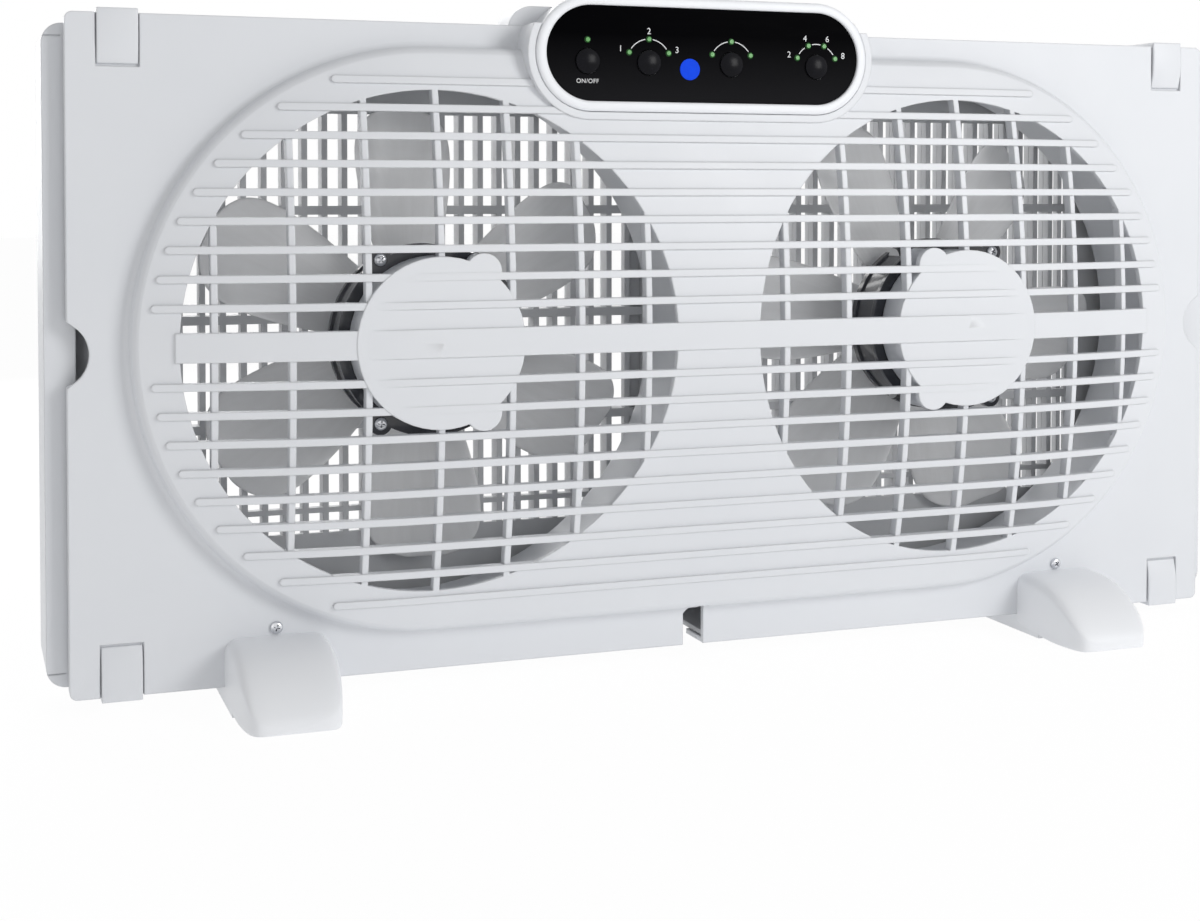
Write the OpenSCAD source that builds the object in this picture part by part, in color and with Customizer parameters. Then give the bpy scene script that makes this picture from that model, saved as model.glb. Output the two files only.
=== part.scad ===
// Twin window fan: a flat panel with a long domed grille over two fans, a control
// strip on its top edge, two screw-on feet and a sliding screen at each side.
// Millimetres, Z up, front towards -Y. The origin is on the ground under the middle.
// Parts are drawn in the panel's own frame (front face y = 0, bottom edge z = 0)
// and placed() puts them on their feet.

/* [Panel] */
// Width of the front panel
panel_w = 612; // [604:1:660]
// Height of the front panel
panel_h = 310; // [306:1:340]
// Wall of the moulded shells
wall = 3; // [2.4:0.1:3.4]
// Radius of the panel's corners
panel_corner = 3.5; // [1:0.5:8]
// Depth of the rim behind the panel's top and bottom edges
rim_depth = 22; // [20:1:24]
// Thickness of that rim
rim_t = 2.5; // [2:0.1:3]
// Depth of the side edges behind the front face
side_depth = 8; // [6:0.5:9]
// Depth of the whole housing behind the front face
body_depth = 60; // [58:0.5:66]

/* [Dome] */
// Distance between the two fan axes
fan_pitch = 280; // [272:1:284]
// Height of the dome's lowest edge above the panel's bottom edge
dome_low = 17; // [15:0.5:20]
// Distance from the dome's top edge to the panel's top edge
dome_top = 9; // [8:0.5:12]
// How far the dome stands ahead of the panel
dome_rise = 28.5; // [27:0.5:30]
// Radius of the dome's shallow crown
crown_r = 520; // [500:1:560]
// Radius of the dome's rounded shoulder
shoulder_r = 7; // [5:0.5:8]
// Radius of the hollow blend at the foot of the dome
cove_r = 3; // [1:0.5:4]
// Width of the dome's border round each opening
opening_border = 23.8; // [22:0.1:26]

/* [Grille] */
// Height of each horizontal bar
bar_t = 3.5; // [2.5:0.1:4.5]
// Distance from one horizontal bar to the next
bar_pitch = 13.1; // [12:0.1:15]
// Height of the wide band across the middle
band_h = 13.4; // [10:0.1:18]
// Free gap between the middle band and the first bar
band_gap = 9.3; // [8:0.1:11]
// Depth of the bars from front to back
bar_depth = 5.5; // [4.5:0.1:6.5]
// How far the horizontal bars stand proud of the dome
rib_proud = 1.2; // [0.6:0.1:2]
// How far the bars' ends stop short of the dome's edge
rib_inset = 10.2; // [9:0.1:14]
// Width of the upright bars
upright_t = 3; // [2:0.1:4]
// Distance between the upright bars
upright_pitch = 34.35; // [32:0.05:37]
// Number of upright bars in each opening
uprights = 7; // [5:2:7]
// Radius of the round cup that carries each motor
cup_r = 40.3; // [39:0.1:42]
// Radius of the two lugs beside each cup
ear_r = 8.7; // [8:0.1:9.5]
// Distance of the lugs from the fan's axis along the panel
ear_x = 20; // [18:0.5:22]
// Height of the lugs above and below the fan's axis
ear_z = 33; // [31:0.5:34]

/* [Motors and fans] */
// How far the motor's mounting face lies ahead of the panel's front face
motor_seat = 10; // [9:0.5:11]
// Radius of the motor's drum
drum_r = 44.5; // [42:0.5:46]
// Depth of the motor's drum
drum_depth = 24; // [20:0.5:25]
// How far the lips at the drum's two ends stand out
drum_lip = 1; // [0.5:0.1:1.5]
// Radius of the motor's body inside the cup
motor_r = 32; // [28:0.5:35]
// Length of the motor's body ahead of its drum
motor_len = 13; // [10:0.5:15]
// Thickness of the motor's four lugs
lug_t = 5; // [4:0.5:6]
// Radius of the motor's lugs
lug_r = 5.5; // [5:0.1:6]
// Distance of the outer lugs from the fan's axis along the panel
outer_lug_x = 25.3; // [24:0.1:27]
// Distance of the inner lugs from the fan's axis along the panel
inner_lug_x = 21; // [20:0.1:23]
// Height of the outer lugs above and below the fan's axis
outer_lug_z = 38.5; // [37:0.1:40]
// Height of the inner lugs above and below the fan's axis
inner_lug_z = 36; // [34:0.1:37]
// Shaft radius
shaft_r = 2.5; // [2:0.1:4]
// Number of blades
blades = 6; // [5:1:7]
// Gap between the blade tips and the edge of the opening, seen from the front
blade_gap = 9.2; // [7:0.1:14]
// Widest part of each blade
blade_w = 56; // [44:1:58]
// Width of each blade at the hub
blade_root_w = 26; // [20:1:28]
// Blade thickness
blade_t = 1.8; // [1.2:0.1:2.4]
// Pitch angle of the blades
blade_pitch = 26; // [18:1:28]
// Radius of the blades' hollow curve
blade_camber_r = 85; // [70:1:160]
// Radius of the hub
hub_r = 24; // [21:0.5:27]
// Depth of the hub
hub_depth = 22; // [20:0.5:24]
// Running gap between motor and hub
hub_gap = 3; // [2.6:0.1:3.4]
// Angle of the first blade of the left fan
left_blade_angle = 92; // [60:1:119]
// Angle of the first blade of the right fan
right_blade_angle = 53; // [30:1:89]
// How far the air ducts lie inside the dome's edge
duct_inset = 14; // [13:0.5:17]
// How far the ducts reach behind the panel's front face
duct_depth = 38; // [34:0.5:40]

/* [Rear] */
// How far the sides of the rear shell lie inside the panel's sides
shell_inset = 14; // [12:0.5:16]
// Wall of the rear shell
rear_wall = 2.5; // [2:0.1:3]
// Half width of the rear grille
lattice_half_w = 250; // [230:1:256]
// Bottom of the rear grille
lattice_z0 = 60; // [54:1:66]
// Top of the rear grille
lattice_z1 = 268; // [262:1:274]
// Distance between the rear grille's upright bars
lattice_pitch = 10; // [9:0.5:14]
// Width of the rear grille's upright bars
lattice_t = 2.8; // [2:0.1:3.5]
// Distance between the rear grille's rails
rail_pitch = 53.4; // [40:0.1:60]
// Height of the rear grille's rails
rail_t = 4.3; // [2.5:0.1:5]
// Height of the thin rail above the rear grille's bottom
thin_rail_up = 11.3; // [8:0.1:16]
// Depth of the rear grille's bars
lattice_depth = 5; // [4:0.1:5.2]

/* [Side screens] */
// How far each screen pulls out
screen_travel = 160; // [120:1:165]
// Length of each screen inside its end strip
screen_len = 292; // [260:1:296]
// Thickness of each screen
screen_t = 4.7; // [3.5:0.1:4.8]
// Width of the end strip that shows beside the panel
strip_show = 9.5; // [6:0.5:14]
// Gap between the rear shell's side and the end strip
strip_gap = 9.5; // [4:0.5:11]
// Height of the end strip's bottom above the panel's bottom
strip_z0 = 4; // [3:0.5:6]
// How far the end strip's top lies below the panel's top
strip_drop = 4.5; // [3:0.5:7]
// How far the end strip starts behind the panel's front face
strip_front = 10; // [9.5:0.5:13]
// Radius of the end strip's outer corners
strip_corner = 9; // [4:0.5:9]
// Wall of the end strip
strip_wall = 2.3; // [2:0.1:2.4]
// Width of a screen's slats
slat_t = 2.6; // [1.5:0.1:3.5]
// Height of a screen's top and bottom rails
screen_rail = 9; // [7:0.5:12]

/* [Controls] */
// Length of the black label
label_w = 166; // [164:1:176]
// Height of the black label
label_h = 46; // [44:0.5:48]
// Place of the label's middle along the panel
label_x = -3.3; // [-5:0.1:5]
// How far the label's middle lies below the panel's top edge
label_drop = 13.8; // [12:0.1:16]
// How far the label's face lies ahead of the panel's front face
label_front = 19; // [18:0.1:20]
// Thickness of the label
label_t = 0.8; // [0.5:0.1:1.2]
// Width of the frame round the label
bezel_rim = 5; // [4:0.5:6]
// How far the frame stands proud of the label
bezel_proud = 1; // [0.5:0.1:1.5]
// Width of the step round the frame
collar_w = 4; // [2:0.5:6]
// Radius of the buttons
button_r = 6; // [5:0.1:6.5]
// How far the buttons stand proud of the label
button_proud = 2.2; // [1.5:0.1:3]
// Button travel
button_travel = 1.2; // [0.8:0.1:1.4]
// Distance of the power button from the label's left end
power_inset = 20.9; // [18:0.1:25]
// Place of the speed button along the strip
speed_x = -30.4; // [-34:0.1:-28]
// Place of the function button along the strip
function_x = 13.4; // [10:0.1:18]
// Distance of the timer button from the label's right end
timer_inset = 22.9; // [19:0.1:27]
// How far the buttons lie below the label's middle
button_drop = 4; // [2:0.1:6]
// Place of the blue receiver window along the strip
window_x = -8.8; // [-10:0.1:-6]
// How far the receiver window lies below the label's middle
window_drop = 6.8; // [4:0.1:9]
// Radius of the receiver window
window_r = 5.2; // [4:0.1:5.6]
// Radius of the indicator lights
led_r = 1.3; // [1:0.1:1.6]
// Radius of the arc of lights round a button
led_arc_r = 11.4; // [10.5:0.1:12]

/* [Clips, notches and feet] */
// Width of the corner clips
clip_w = 17; // [14:0.5:20]
// Thickness of the corner clips
clip_t = 1.8; // [1.4:0.1:2.2]
// Length of a clip's front leg
clip_leg = 23; // [18:0.5:26]
// How far the clips' middles lie inside the panel's sides
clip_inset = 23; // [20:0.5:24]
// Free space round a clip in its recess
clip_space = 1.2; // [1:0.1:3]
// Depth of the recess in the panel
recess_depth = 1.8; // [1.2:0.1:2]
// Height of the finger notch in each side edge
notch_h = 30; // [24:1:40]
// Depth of the finger notch
notch_d = 9.7; // [7:0.1:11]
// Depth of the notch's sloping ends
notch_slope = 4; // [2:0.1:5]
// Height of the finger notch's middle above the panel's bottom
notch_z = 156; // [140:1:170]
// Width of the cord notch in the bottom edge
cord_notch_w = 11; // [9:0.5:16]
// Height of the cord notch
cord_notch_h = 21; // [18:0.5:22]
// Place of the cord notch along the bottom edge
cord_notch_x = -2; // [-10:0.5:10]
// Distance of each foot from the middle
foot_x = 213; // [200:1:222]
// Width of the feet at the panel
foot_w = 48; // [42:1:50]
// Width of the toes
toe_w = 39; // [32:1:44]
// Height of a foot's top above the panel's bottom
foot_top = 22.5; // [20:0.5:26]
// How far the feet lift the panel off the ground
foot_drop = 9; // [8:0.5:12]
// How far the toes reach ahead of the panel's front face
foot_toe = 56; // [48:1:60]
// Radius of the toe's corners seen from above
toe_r = 11; // [8:0.5:14]
// Bulge of a foot's sloping front
foot_bulge = 8; // [5:0.5:8]
// Radius of a foot's upper edges
foot_edge_r = 4; // [2:0.5:6]
// Wall of the hollow feet
foot_wall = 3; // [2.4:0.1:3.4]
// How far a foot's neck and window lie inside its width
neck_inset = 5; // [4:0.5:7]

/* [Hidden] */
$fn = 96;

// Gap between separate pieces that sit against each other
seat = 0.3;
// Running gap of a shaft in its bearing
running = 0.05;
// Extra length that makes a cut run past a face
past = 1;

face_y = (foot_toe - body_depth) / 2;
panel_half = panel_w / 2;
dome_r = (panel_h - dome_low - dome_top) / 2;
fan_z = dome_low + dome_r;
opening_r = dome_r - opening_border;
blade_r = opening_r - blade_gap;
duct_r = dome_r - duct_inset;
shell_half = panel_half - shell_inset;
rear_z0 = rim_t + 0.5;
rear_z1 = panel_h - rim_t - 0.5;
back_y = body_depth - 13;
plate_back = back_y + rear_wall;
bushing_y = (duct_depth + 1 + plate_back) / 2;
label_z = panel_h - label_drop;
bezel_front = label_front + bezel_proud;
bezel_back = label_front - label_t - 2.2;
pod_front = bezel_back - seat;
collar_front = pod_front + 2.9;
bezel_half_h = label_h / 2 + bezel_rim;
label_span = label_w - label_h;
power_x = power_inset - label_w / 2;
timer_x = label_w / 2 - timer_inset;
box_half = label_w / 2 + 13;
box_top = label_z + bezel_half_h - 4.5;
box_corner = 12;
rib_reach = dome_r - rib_inset;
first_bar = band_h / 2 + band_gap + bar_t / 2;
bar_rows = floor((rib_reach - bar_t - first_bar) / bar_pitch);
motor_back = -motor_seat + drum_depth;
lug_back = -motor_seat + lug_t;
hub_front = motor_back + hub_gap;
hub_back = hub_front + hub_depth;
blade_mid = hub_front + hub_depth / 2 + 2;
screen_y0 = back_y + lattice_depth + 0.5;
rail_places = [for (z = [lattice_z0 + rail_pitch : rail_pitch : lattice_z1 - rail_t]) z];
strip_back = body_depth;
strip_x0 = shell_half + strip_gap;
strip_x1 = panel_half + strip_show;
strip_z1 = panel_h - strip_drop;
track_z0 = rear_z0 + 4.5;
track_z1 = rear_z1 - 4.5;
track_web = 2.5;
screen_z0 = track_z0 + track_web + seat;
screen_z1 = track_z1 - track_web - seat;
post_x = shell_half - 30;
post_z = 19;
post_r = 4.5;
post_split = 14;
clip_x = panel_half - clip_inset;
foot_screw_z = foot_top + 3.5;
foot_screw_len = 9;
lug_screw_len = lug_t + 8;
bushing_len = 3.8;
board_front = 2;
// How far the ducts reach forward into the dome's wall
duct_lead = dome_rise - duct_r * duct_r / (2 * crown_r) - wall / 2;
board_t = 1.6;

white = [0.9, 0.9, 0.92];
blade_grey = [0.78, 0.79, 0.8];
lattice_grey = [0.62, 0.63, 0.65];
black = [0.04, 0.04, 0.06];
steel = [0.75, 0.75, 0.77];

// Puts a piece drawn in the panel's frame on its feet.
module placed() translate([0, face_y, foot_drop]) children();

// A cylinder along Y from y0 to y1.
module rod(r, y0, y1) translate([0, y1, 0]) rotate([90, 0, 0]) cylinder(r = r, h = y1 - y0);

// A flat XZ outline made solid from y0 to y1.
module slab(y0, y1) translate([0, y1, 0]) rotate([90, 0, 0]) linear_extrude(y1 - y0) children();

// A box from one corner to the other.
module span(x, y, z) translate([x[0], y[0], z[0]]) cube([x[1] - x[0], y[1] - y[0], z[1] - z[0]]);

// Sweeps a half section (radius across, height forward) round a long track with
// two half-round ends; width is the distance between the ends' centres.
module track_sweep(width) {
    for (side = [-1, 1])
        translate([side * width / 2, 0, 0])
            rotate([90, 0, 0]) rotate([0, 0, -90 * side])
                rotate_extrude(angle = 180) children();
    rotate([0, 90, 0]) linear_extrude(width, center = true) mirror([0, 1]) {
        children();
        mirror([1, 0]) children();
    }
}

// A long outline with half-round ends.
module stadium(span_w, r) {
    square([span_w, 2 * r], center = true);
    for (side = [-1, 1]) translate([side * span_w / 2, 0]) circle(r);
}

// A rectangle with rounded corners, from x0 to x1 and z0 to z1.
module round_rect(x0, x1, z0, z1, r) {
    translate([x0 + r, z0]) square([x1 - x0 - 2 * r, z1 - z0]);
    translate([x0, z0 + r]) square([x1 - x0, z1 - z0 - 2 * r]);
    for (x = [x0 + r, x1 - r], z = [z0 + r, z1 - r]) translate([x, z]) circle(r);
}

// Points along an arc, for outlines with short round stretches.
function arc(x, y, r, from, to, steps) = [for (i = [0 : steps])
    let (a = from + (to - from) * i / steps) [x + r * cos(a), y + r * sin(a)]];

// Half section of the dome: a shallow crown that rolls over a shoulder and ends in a
// hollow blend. The inset gives the inner face, which has no blend, and base is how
// far the section reaches behind the panel.
module dome_section(inset, base) {
    edge = dome_r - cove_r - inset;
    roll = shoulder_r - inset / 2;
    centre = dome_rise - crown_r;
    roll_h = centre + sqrt(pow(crown_r - inset - roll, 2) - pow(edge - roll, 2)) + 0.35;
    blend = inset > 0 ? [] : arc(dome_r, cove_r, cove_r, 268, 180, 4);
    intersection() {
        translate([0, centre]) circle(crown_r - inset, $fn = 360);
        polygon(concat([[0, -base], [inset > 0 ? edge : dome_r, -base]], blend,
            arc(edge - roll, roll_h, roll, 0, 90, 6), [[edge - roll, 2 * dome_rise], [0, 2 * dome_rise]]));
    }
}

// Half section of the layer that the grille bars are cut from.
module bar_section(proud) {
    centre = dome_rise - crown_r;
    intersection() {
        difference() {
            translate([0, centre]) circle(crown_r + proud, $fn = 360);
            translate([0, centre]) circle(crown_r + proud - bar_depth, $fn = 360);
        }
        square([rib_reach + bar_t, dome_rise + 2 * bar_depth]);
    }
}

// Outline of the horizontal bars, the ribs that carry them on, and the middle band.
module bar_outline() {
    for (side = [-1, 1], row = [0 : bar_rows]) {
        h = side * (first_bar + row * bar_pitch);
        half = fan_pitch / 2 + sqrt(pow(rib_reach, 2) - h * h) - bar_t / 2;
        translate([0, h]) square([2 * half, bar_t], center = true);
        for (end = [-1, 1]) translate([end * half, h]) circle(bar_t / 2);
    }
    square([fan_pitch + 2 * (opening_r + 2), band_h], center = true);
}

// Outline of the upright bars in both openings.
module upright_outline() {
    for (side = [-1, 1]) translate([side * fan_pitch / 2, 0]) intersection() {
        circle(opening_r + 1);
        for (i = [-(uprights - 1) / 2 : (uprights - 1) / 2])
            translate([i * upright_pitch - upright_t / 2, -opening_r]) square([upright_t, 2 * opening_r]);
    }
}

// Place of a motor screw beside its cup: inner ones face the panel's middle.
module at_screw(side, inner, up) {
    away = inner > 0 ? -inner_lug_x : outer_lug_x;
    high = inner > 0 ? inner_lug_z : outer_lug_z;
    translate([side * (fan_pitch / 2 + away), 0, fan_z + up * high]) children();
}

module at_fan(side) translate([side * fan_pitch / 2, 0, fan_z]) children();

module at_label() translate([label_x, 0, label_z]) children();

// The cup that carries a motor, with the two lugs on the side of the panel's middle.
module motor_cup(side) {
    front = -dome_rise;
    at_fan(side) difference() {
        rod(cup_r, front, -motor_seat - seat);
        rod(cup_r - wall, front + wall, -motor_seat);
    }
    for (up = [-1, 1]) {
        at_fan(side) translate([-side * ear_x, 0, up * ear_z]) rod(ear_r, front, front + 4);
        at_screw(side, 1, up) difference() {
            rod(5, front, -motor_seat - seat);
            rod(1.3, front + 4.5, -motor_seat);
        }
    }
}

// Panel with its rim, before the dome is put on.
module panel_body() {
    difference() {
        union() {
            slab(0, wall) round_rect(-panel_half, panel_half, 0, panel_h, panel_corner);
            slab(0, side_depth) difference() {
                round_rect(-panel_half, panel_half, 0, panel_h, panel_corner);
                translate([-panel_half + rim_t, rim_t])
                    square([panel_w - 2 * rim_t, panel_h - 2 * rim_t]);
            }
            for (z = [0, panel_h - rim_t])
                span([-shell_half, shell_half], [0, rim_depth], [z, z + rim_t]);
        }
        for (m = [0, 1]) mirror([m, 0, 0]) translate([panel_half, 0, notch_z]) finger_notch();
    }
}

// A shallow arc with short sloping ends, cut into a side edge.
module finger_notch() {
    deep = notch_d - notch_slope;
    half = notch_h / 2 - notch_slope * 0.75;
    arc_r = (half * half + deep * deep) / (2 * deep);
    slab(-past, side_depth + past) {
        translate([arc_r - notch_d, 0]) circle(arc_r);
        polygon([[-notch_slope, half], [0, notch_h / 2], [past, notch_h / 2],
            [past, -notch_h / 2], [0, -notch_h / 2], [-notch_slope, -half]]);
    }
}

// The raised housing of the controls: a long pod in front with a step round it
// below the panel's top edge, and a box behind the panel.
module control_pod() {
    at_label() slab(-pod_front, wall + 1) stadium(label_span, bezel_half_h - 1);
    at_label() slab(-collar_front, wall + 1) intersection() {
        stadium(label_span, bezel_half_h + collar_w);
        translate([-box_half, -2 * bezel_half_h]) square([2 * box_half, 2 * bezel_half_h + label_drop]);
    }
    translate([label_x, 0, 0]) slab(1, rim_depth)
        round_rect(-box_half, box_half, label_z - bezel_half_h, box_top, box_corner);
}

module control_cavity() {
    at_label() {
        slab(-pod_front - past, wall + 1) stadium(label_span, bezel_half_h - rim_t);
        slab(-bezel_front - past, -pod_front) stadium(label_span, bezel_half_h + seat);
    }
    translate([label_x, 0, 0]) slab(wall, rim_depth - wall)
        round_rect(-box_half + wall, box_half - wall, label_z - bezel_half_h + wall,
            box_top - wall, box_corner - wall);
}

// Front moulding: panel, dome, grille bars, motor cups, ducts and control pod.
module front_shell() placed() color(white) {
    difference() {
        union() {
            panel_body();
            translate([0, 0, fan_z]) track_sweep(fan_pitch) dome_section(0, wall);
            control_pod();
            for (sx = [-1, 1], z = [post_z, panel_h - post_z])
                translate([sx * post_x, 0, z]) rod(post_r, 0, post_split);
        }
        translate([0, 0, fan_z]) track_sweep(fan_pitch) dome_section(wall, wall + past);
        for (side = [-1, 1]) at_fan(side) rod(opening_r, -dome_rise - past, 0);
        control_cavity();
        for (sx = [-1, 1]) {
            for (z = [post_z, panel_h - post_z])
                translate([sx * post_x, 0, z]) rod(1.6, wall + 2, post_split + past);
            for (low = [0, 1]) clip_recess(sx, low);
            foot_window(sx * foot_x);
        }
        cord_notch();
    }
    for (side = [-1, 1]) duct(side);
    grille();
    for (x = [-1, 1], up = [-1, 1]) at_label()
        translate([x * 58, 0, up * 12]) rod(2.5, -board_front + board_t + seat, rim_depth - wall / 2);
}

// Round wall behind the dome that guides the air through a fan.
module duct(side) at_fan(side) difference() {
    rod(duct_r + rear_wall, -duct_lead, duct_depth);
    rod(duct_r, -duct_lead - past, duct_depth + past);
}

// Bars, ribs and motor cups, kept clear of the cups' insides and the control pod.
module grille() difference() {
    union() {
        intersection() {
            translate([0, 0, fan_z]) track_sweep(fan_pitch) bar_section(rib_proud);
            translate([0, 0, fan_z]) slab(-dome_rise - 2 * bar_depth, 0) bar_outline();
        }
        intersection() {
            translate([0, 0, fan_z]) track_sweep(fan_pitch) bar_section(0);
            translate([0, 0, fan_z]) slab(-dome_rise - 2 * bar_depth, 0) upright_outline();
        }
        for (side = [-1, 1]) motor_cup(side);
    }
    for (side = [-1, 1]) at_fan(side) rod(cup_r - wall, wall - dome_rise, 0);
    at_label() slab(-dome_rise - past, 0) stadium(label_span, bezel_half_h + collar_w - past);
}

// Pocket in the panel's face that the corner clip's leg lies in.
module clip_recess(side, low) {
    half = clip_w / 2 + clip_space;
    z0 = low == 1 ? -past : panel_h - clip_leg - clip_space;
    z1 = low == 1 ? clip_leg + clip_space : panel_h + past;
    span([side * clip_x - half, side * clip_x + half], [-past, recess_depth], [z0, z1]);
}

// Opening behind a foot that its neck passes through.
module foot_window(x) {
    half = foot_w / 2 - neck_inset;
    span([x - half, x + half], [-past, wall + past], [7, foot_top - 3]);
    translate([x, 0, foot_screw_z]) rod(1.7, -past, wall + past);
}

// Notch in the bottom edge with one sloping corner, for the cord.
module cord_notch() {
    x0 = cord_notch_x - cord_notch_w / 2;
    x1 = cord_notch_x + cord_notch_w / 2;
    slab(-dome_rise, rim_depth + past)
        polygon([[x0, -past], [x1, -past], [x1, cord_notch_h], [x0 + 5, cord_notch_h], [x0, cord_notch_h - 5]]);
}

// Rear moulding: tray with the rear grille and the tracks of the side screens.
module rear_shell() placed() color(white) {
    tunnel_x0 = cord_notch_x - cord_notch_w / 2 - 1;
    tunnel_x1 = cord_notch_x + cord_notch_w / 2 + 1;
    tunnel_z = cord_notch_h + 1;
    difference() {
        union() {
            difference() {
                span([-shell_half, shell_half], [wall + seat, plate_back], [rear_z0, rear_z1]);
                span([-shell_half + rear_wall, shell_half - rear_wall], [0, back_y],
                    [rear_z0 + rear_wall, rear_z1 - rear_wall]);
            }
            span([tunnel_x0 - rear_wall, tunnel_x1 + rear_wall], [duct_depth + 1, plate_back],
                [rear_z0, tunnel_z + rear_wall]);
            for (sx = [-1, 1], z = [post_z, panel_h - post_z])
                translate([sx * post_x, 0, z]) rod(post_r, post_split + seat, plate_back);
            for (low = [0, 1]) screen_track(low);
        }
        span([-lattice_half_w, lattice_half_w], [0, body_depth + past], [lattice_z0, lattice_z1]);
        translate([label_x, 0, 0])
            span([-box_half - seat, box_half + seat], [0, rim_depth + seat], [rear_z1 - rear_wall - past, panel_h]);
        span([tunnel_x0, tunnel_x1], [0, plate_back + past], [0, tunnel_z]);
        for (sx = [-1, 1], z = [post_z, panel_h - post_z]) translate([sx * post_x, 0, z]) {
            rod(1.8, 0, plate_back + past);
            rod(3.6, plate_back - 6, plate_back + past);
        }
        translate([cord_notch_x, bushing_y, tunnel_z]) cylinder(r = 4.2, h = 3 * rear_wall, center = true);
    }
    rear_lattice();
}

// The upright bars and rails that fill the rear opening.
module rear_lattice() {
    bars = floor((lattice_half_w - lattice_t) / lattice_pitch);
    for (i = [-bars : bars])
        span([i * lattice_pitch - lattice_t / 2, i * lattice_pitch + lattice_t / 2],
            [back_y, back_y + lattice_depth], [lattice_z0, lattice_z1]);
    span([-lattice_half_w, lattice_half_w], [back_y, back_y + lattice_depth],
        [lattice_z0 + thin_rail_up - slat_t / 2, lattice_z0 + thin_rail_up + slat_t / 2]);
    for (z = rail_places)
        span([-lattice_half_w, lattice_half_w], [back_y, back_y + lattice_depth], [z - rail_t / 2, z + rail_t / 2]);
}

// One L-shaped rail that a side screen slides along.
module screen_track(low) {
    web = low == 1 ? [track_z0, track_z0 + track_web] : [track_z1 - track_web, track_z1];
    lip = low == 1 ? [track_z0, track_z0 + 6] : [track_z1 - 6, track_z1];
    span([-shell_half, shell_half], [back_y, body_depth], web);
    span([-shell_half, shell_half], [screen_y0 + screen_t + seat, body_depth], lip);
}

// Motor: a can in the cup, a drum with a lip at each end and four lugs at its front,
// pockets for the screws behind the lugs, and a blind shaft bearing.
module motor(side) placed() color(black) {
    difference() {
        union() {
            at_fan(side) {
                rod(motor_r, -motor_seat - motor_len, motor_back);
                rod(drum_r, -motor_seat, motor_back);
                rod(drum_r + drum_lip, -motor_seat, lug_back - 2);
                rod(drum_r + drum_lip, motor_back - 4, motor_back);
            }
            for (inner = [-1, 1], up = [-1, 1]) at_screw(side, inner, up) rod(lug_r, -motor_seat, lug_back);
        }
        at_fan(side) rod(shaft_r + running, -motor_seat - 5, motor_back + past);
        for (inner = [-1, 1], up = [-1, 1]) at_screw(side, inner, up) {
            rod(1.7, -motor_seat - past, lug_back + past);
            rod(lug_r - 1.2, lug_back, motor_back + past);
        }
    }
}

module left_motor() motor(-1);
module right_motor() motor(1);

// A pan-head screw along Y: its head towards dir, its seat at y = 0.
module pan_screw(head_r, head_h, shank_r, length, dir) {
    rotate([dir > 0 ? 90 : -90, 0, 0]) rotate_extrude($fn = 48) {
        intersection() {
            translate([0, head_h - head_r * 1.4]) circle(head_r * 1.4);
            square([head_r, head_h]);
        }
        translate([0, -length]) square([shank_r, length + past / 2]);
    }
}

// Four screws per motor; the inner ones go into the grille's lugs from behind.
module motor_screws() placed() color(steel) {
    for (side = [-1, 1], up = [-1, 1]) {
        at_screw(side, -1, up) translate([0, -motor_seat - 0.1, 0]) pan_screw(3.2, 1.8, 1.5, lug_t + 2, 1);
        at_screw(side, 1, up) translate([0, lug_back + 0.1, 0]) pan_screw(3.2, 1.5, 1.2, lug_screw_len, -1);
    }
}

// Shaft from the motor's bearing through the hub to the nut.
module shaft(side) placed() color(steel) at_fan(side)
    rod(shaft_r, -motor_seat - 4.5, hub_back + 4);

module left_shaft() shaft(-1);
module right_shaft() shaft(1);

// Seen from the front: a broad paddle that points along +X.
module blade_outline() {
    corner = blade_w * 0.32;
    widest = blade_r - corner * 1.15;
    intersection() {
        circle(blade_r, $fn = 180);
        union() {
            polygon([[hub_r - 2, -blade_root_w / 2], [widest, -blade_w / 2], [widest, blade_w / 2],
                [hub_r - 2, blade_root_w / 2]]);
            for (s = [-1, 1]) translate([widest, s * (blade_w / 2 - corner)]) circle(corner);
            translate([widest - past, -blade_w / 2 + corner])
                square([blade_r - widest + past, blade_w - 2 * corner]);
        }
    }
}

// One blade: a curved plate, turned to its pitch and trimmed to the paddle outline.
module blade() {
    depth = blade_w;
    intersection() {
        slab(-depth / 2, depth / 2) blade_outline();
        rotate([blade_pitch, 0, 0]) translate([0, -blade_camber_r, 0]) rotate([0, 90, 0]) difference() {
            cylinder(r = blade_camber_r + blade_t / 2, h = blade_r + past, $fn = 180);
            translate([0, 0, -past]) cylinder(r = blade_camber_r - blade_t / 2, h = blade_r + 3 * past, $fn = 180);
        }
        span([0, blade_r], [-depth / 2, depth / 2], [-depth / 2, depth / 2]);
    }
}

// Fan wheel: a cup-shaped hub with its blades and a boss round the shaft.
module impeller(side, first) placed() color(blade_grey) at_fan(side) difference() {
    union() {
        difference() {
            union() {
                for (i = [0 : blades - 1])
                    translate([0, blade_mid, 0]) rotate([0, -(first + i * 360 / blades), 0]) blade();
                rod(hub_r, hub_front, hub_back);
            }
            rod(hub_r - rear_wall, hub_front + rear_wall, hub_back + past);
        }
        rod(7, hub_front, hub_back);
    }
    rod(shaft_r + running, hub_front - past, hub_back + past);
}

module left_impeller() impeller(-1, left_blade_angle);
module right_impeller() impeller(1, right_blade_angle);

// Round nut that holds the fan wheel on its shaft.
module hub_nut(side) placed() color(blade_grey) at_fan(side) translate([0, hub_back + 0.2, 0])
    difference() {
        union() {
            rod(8, 0, 3);
            rotate([-90, 0, 0]) cylinder(r = 6, h = 5, $fn = 6);
        }
        rod(shaft_r + running, -past, 4);
    }

module left_hub_nut() hub_nut(-1);
module right_hub_nut() hub_nut(1);

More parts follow.
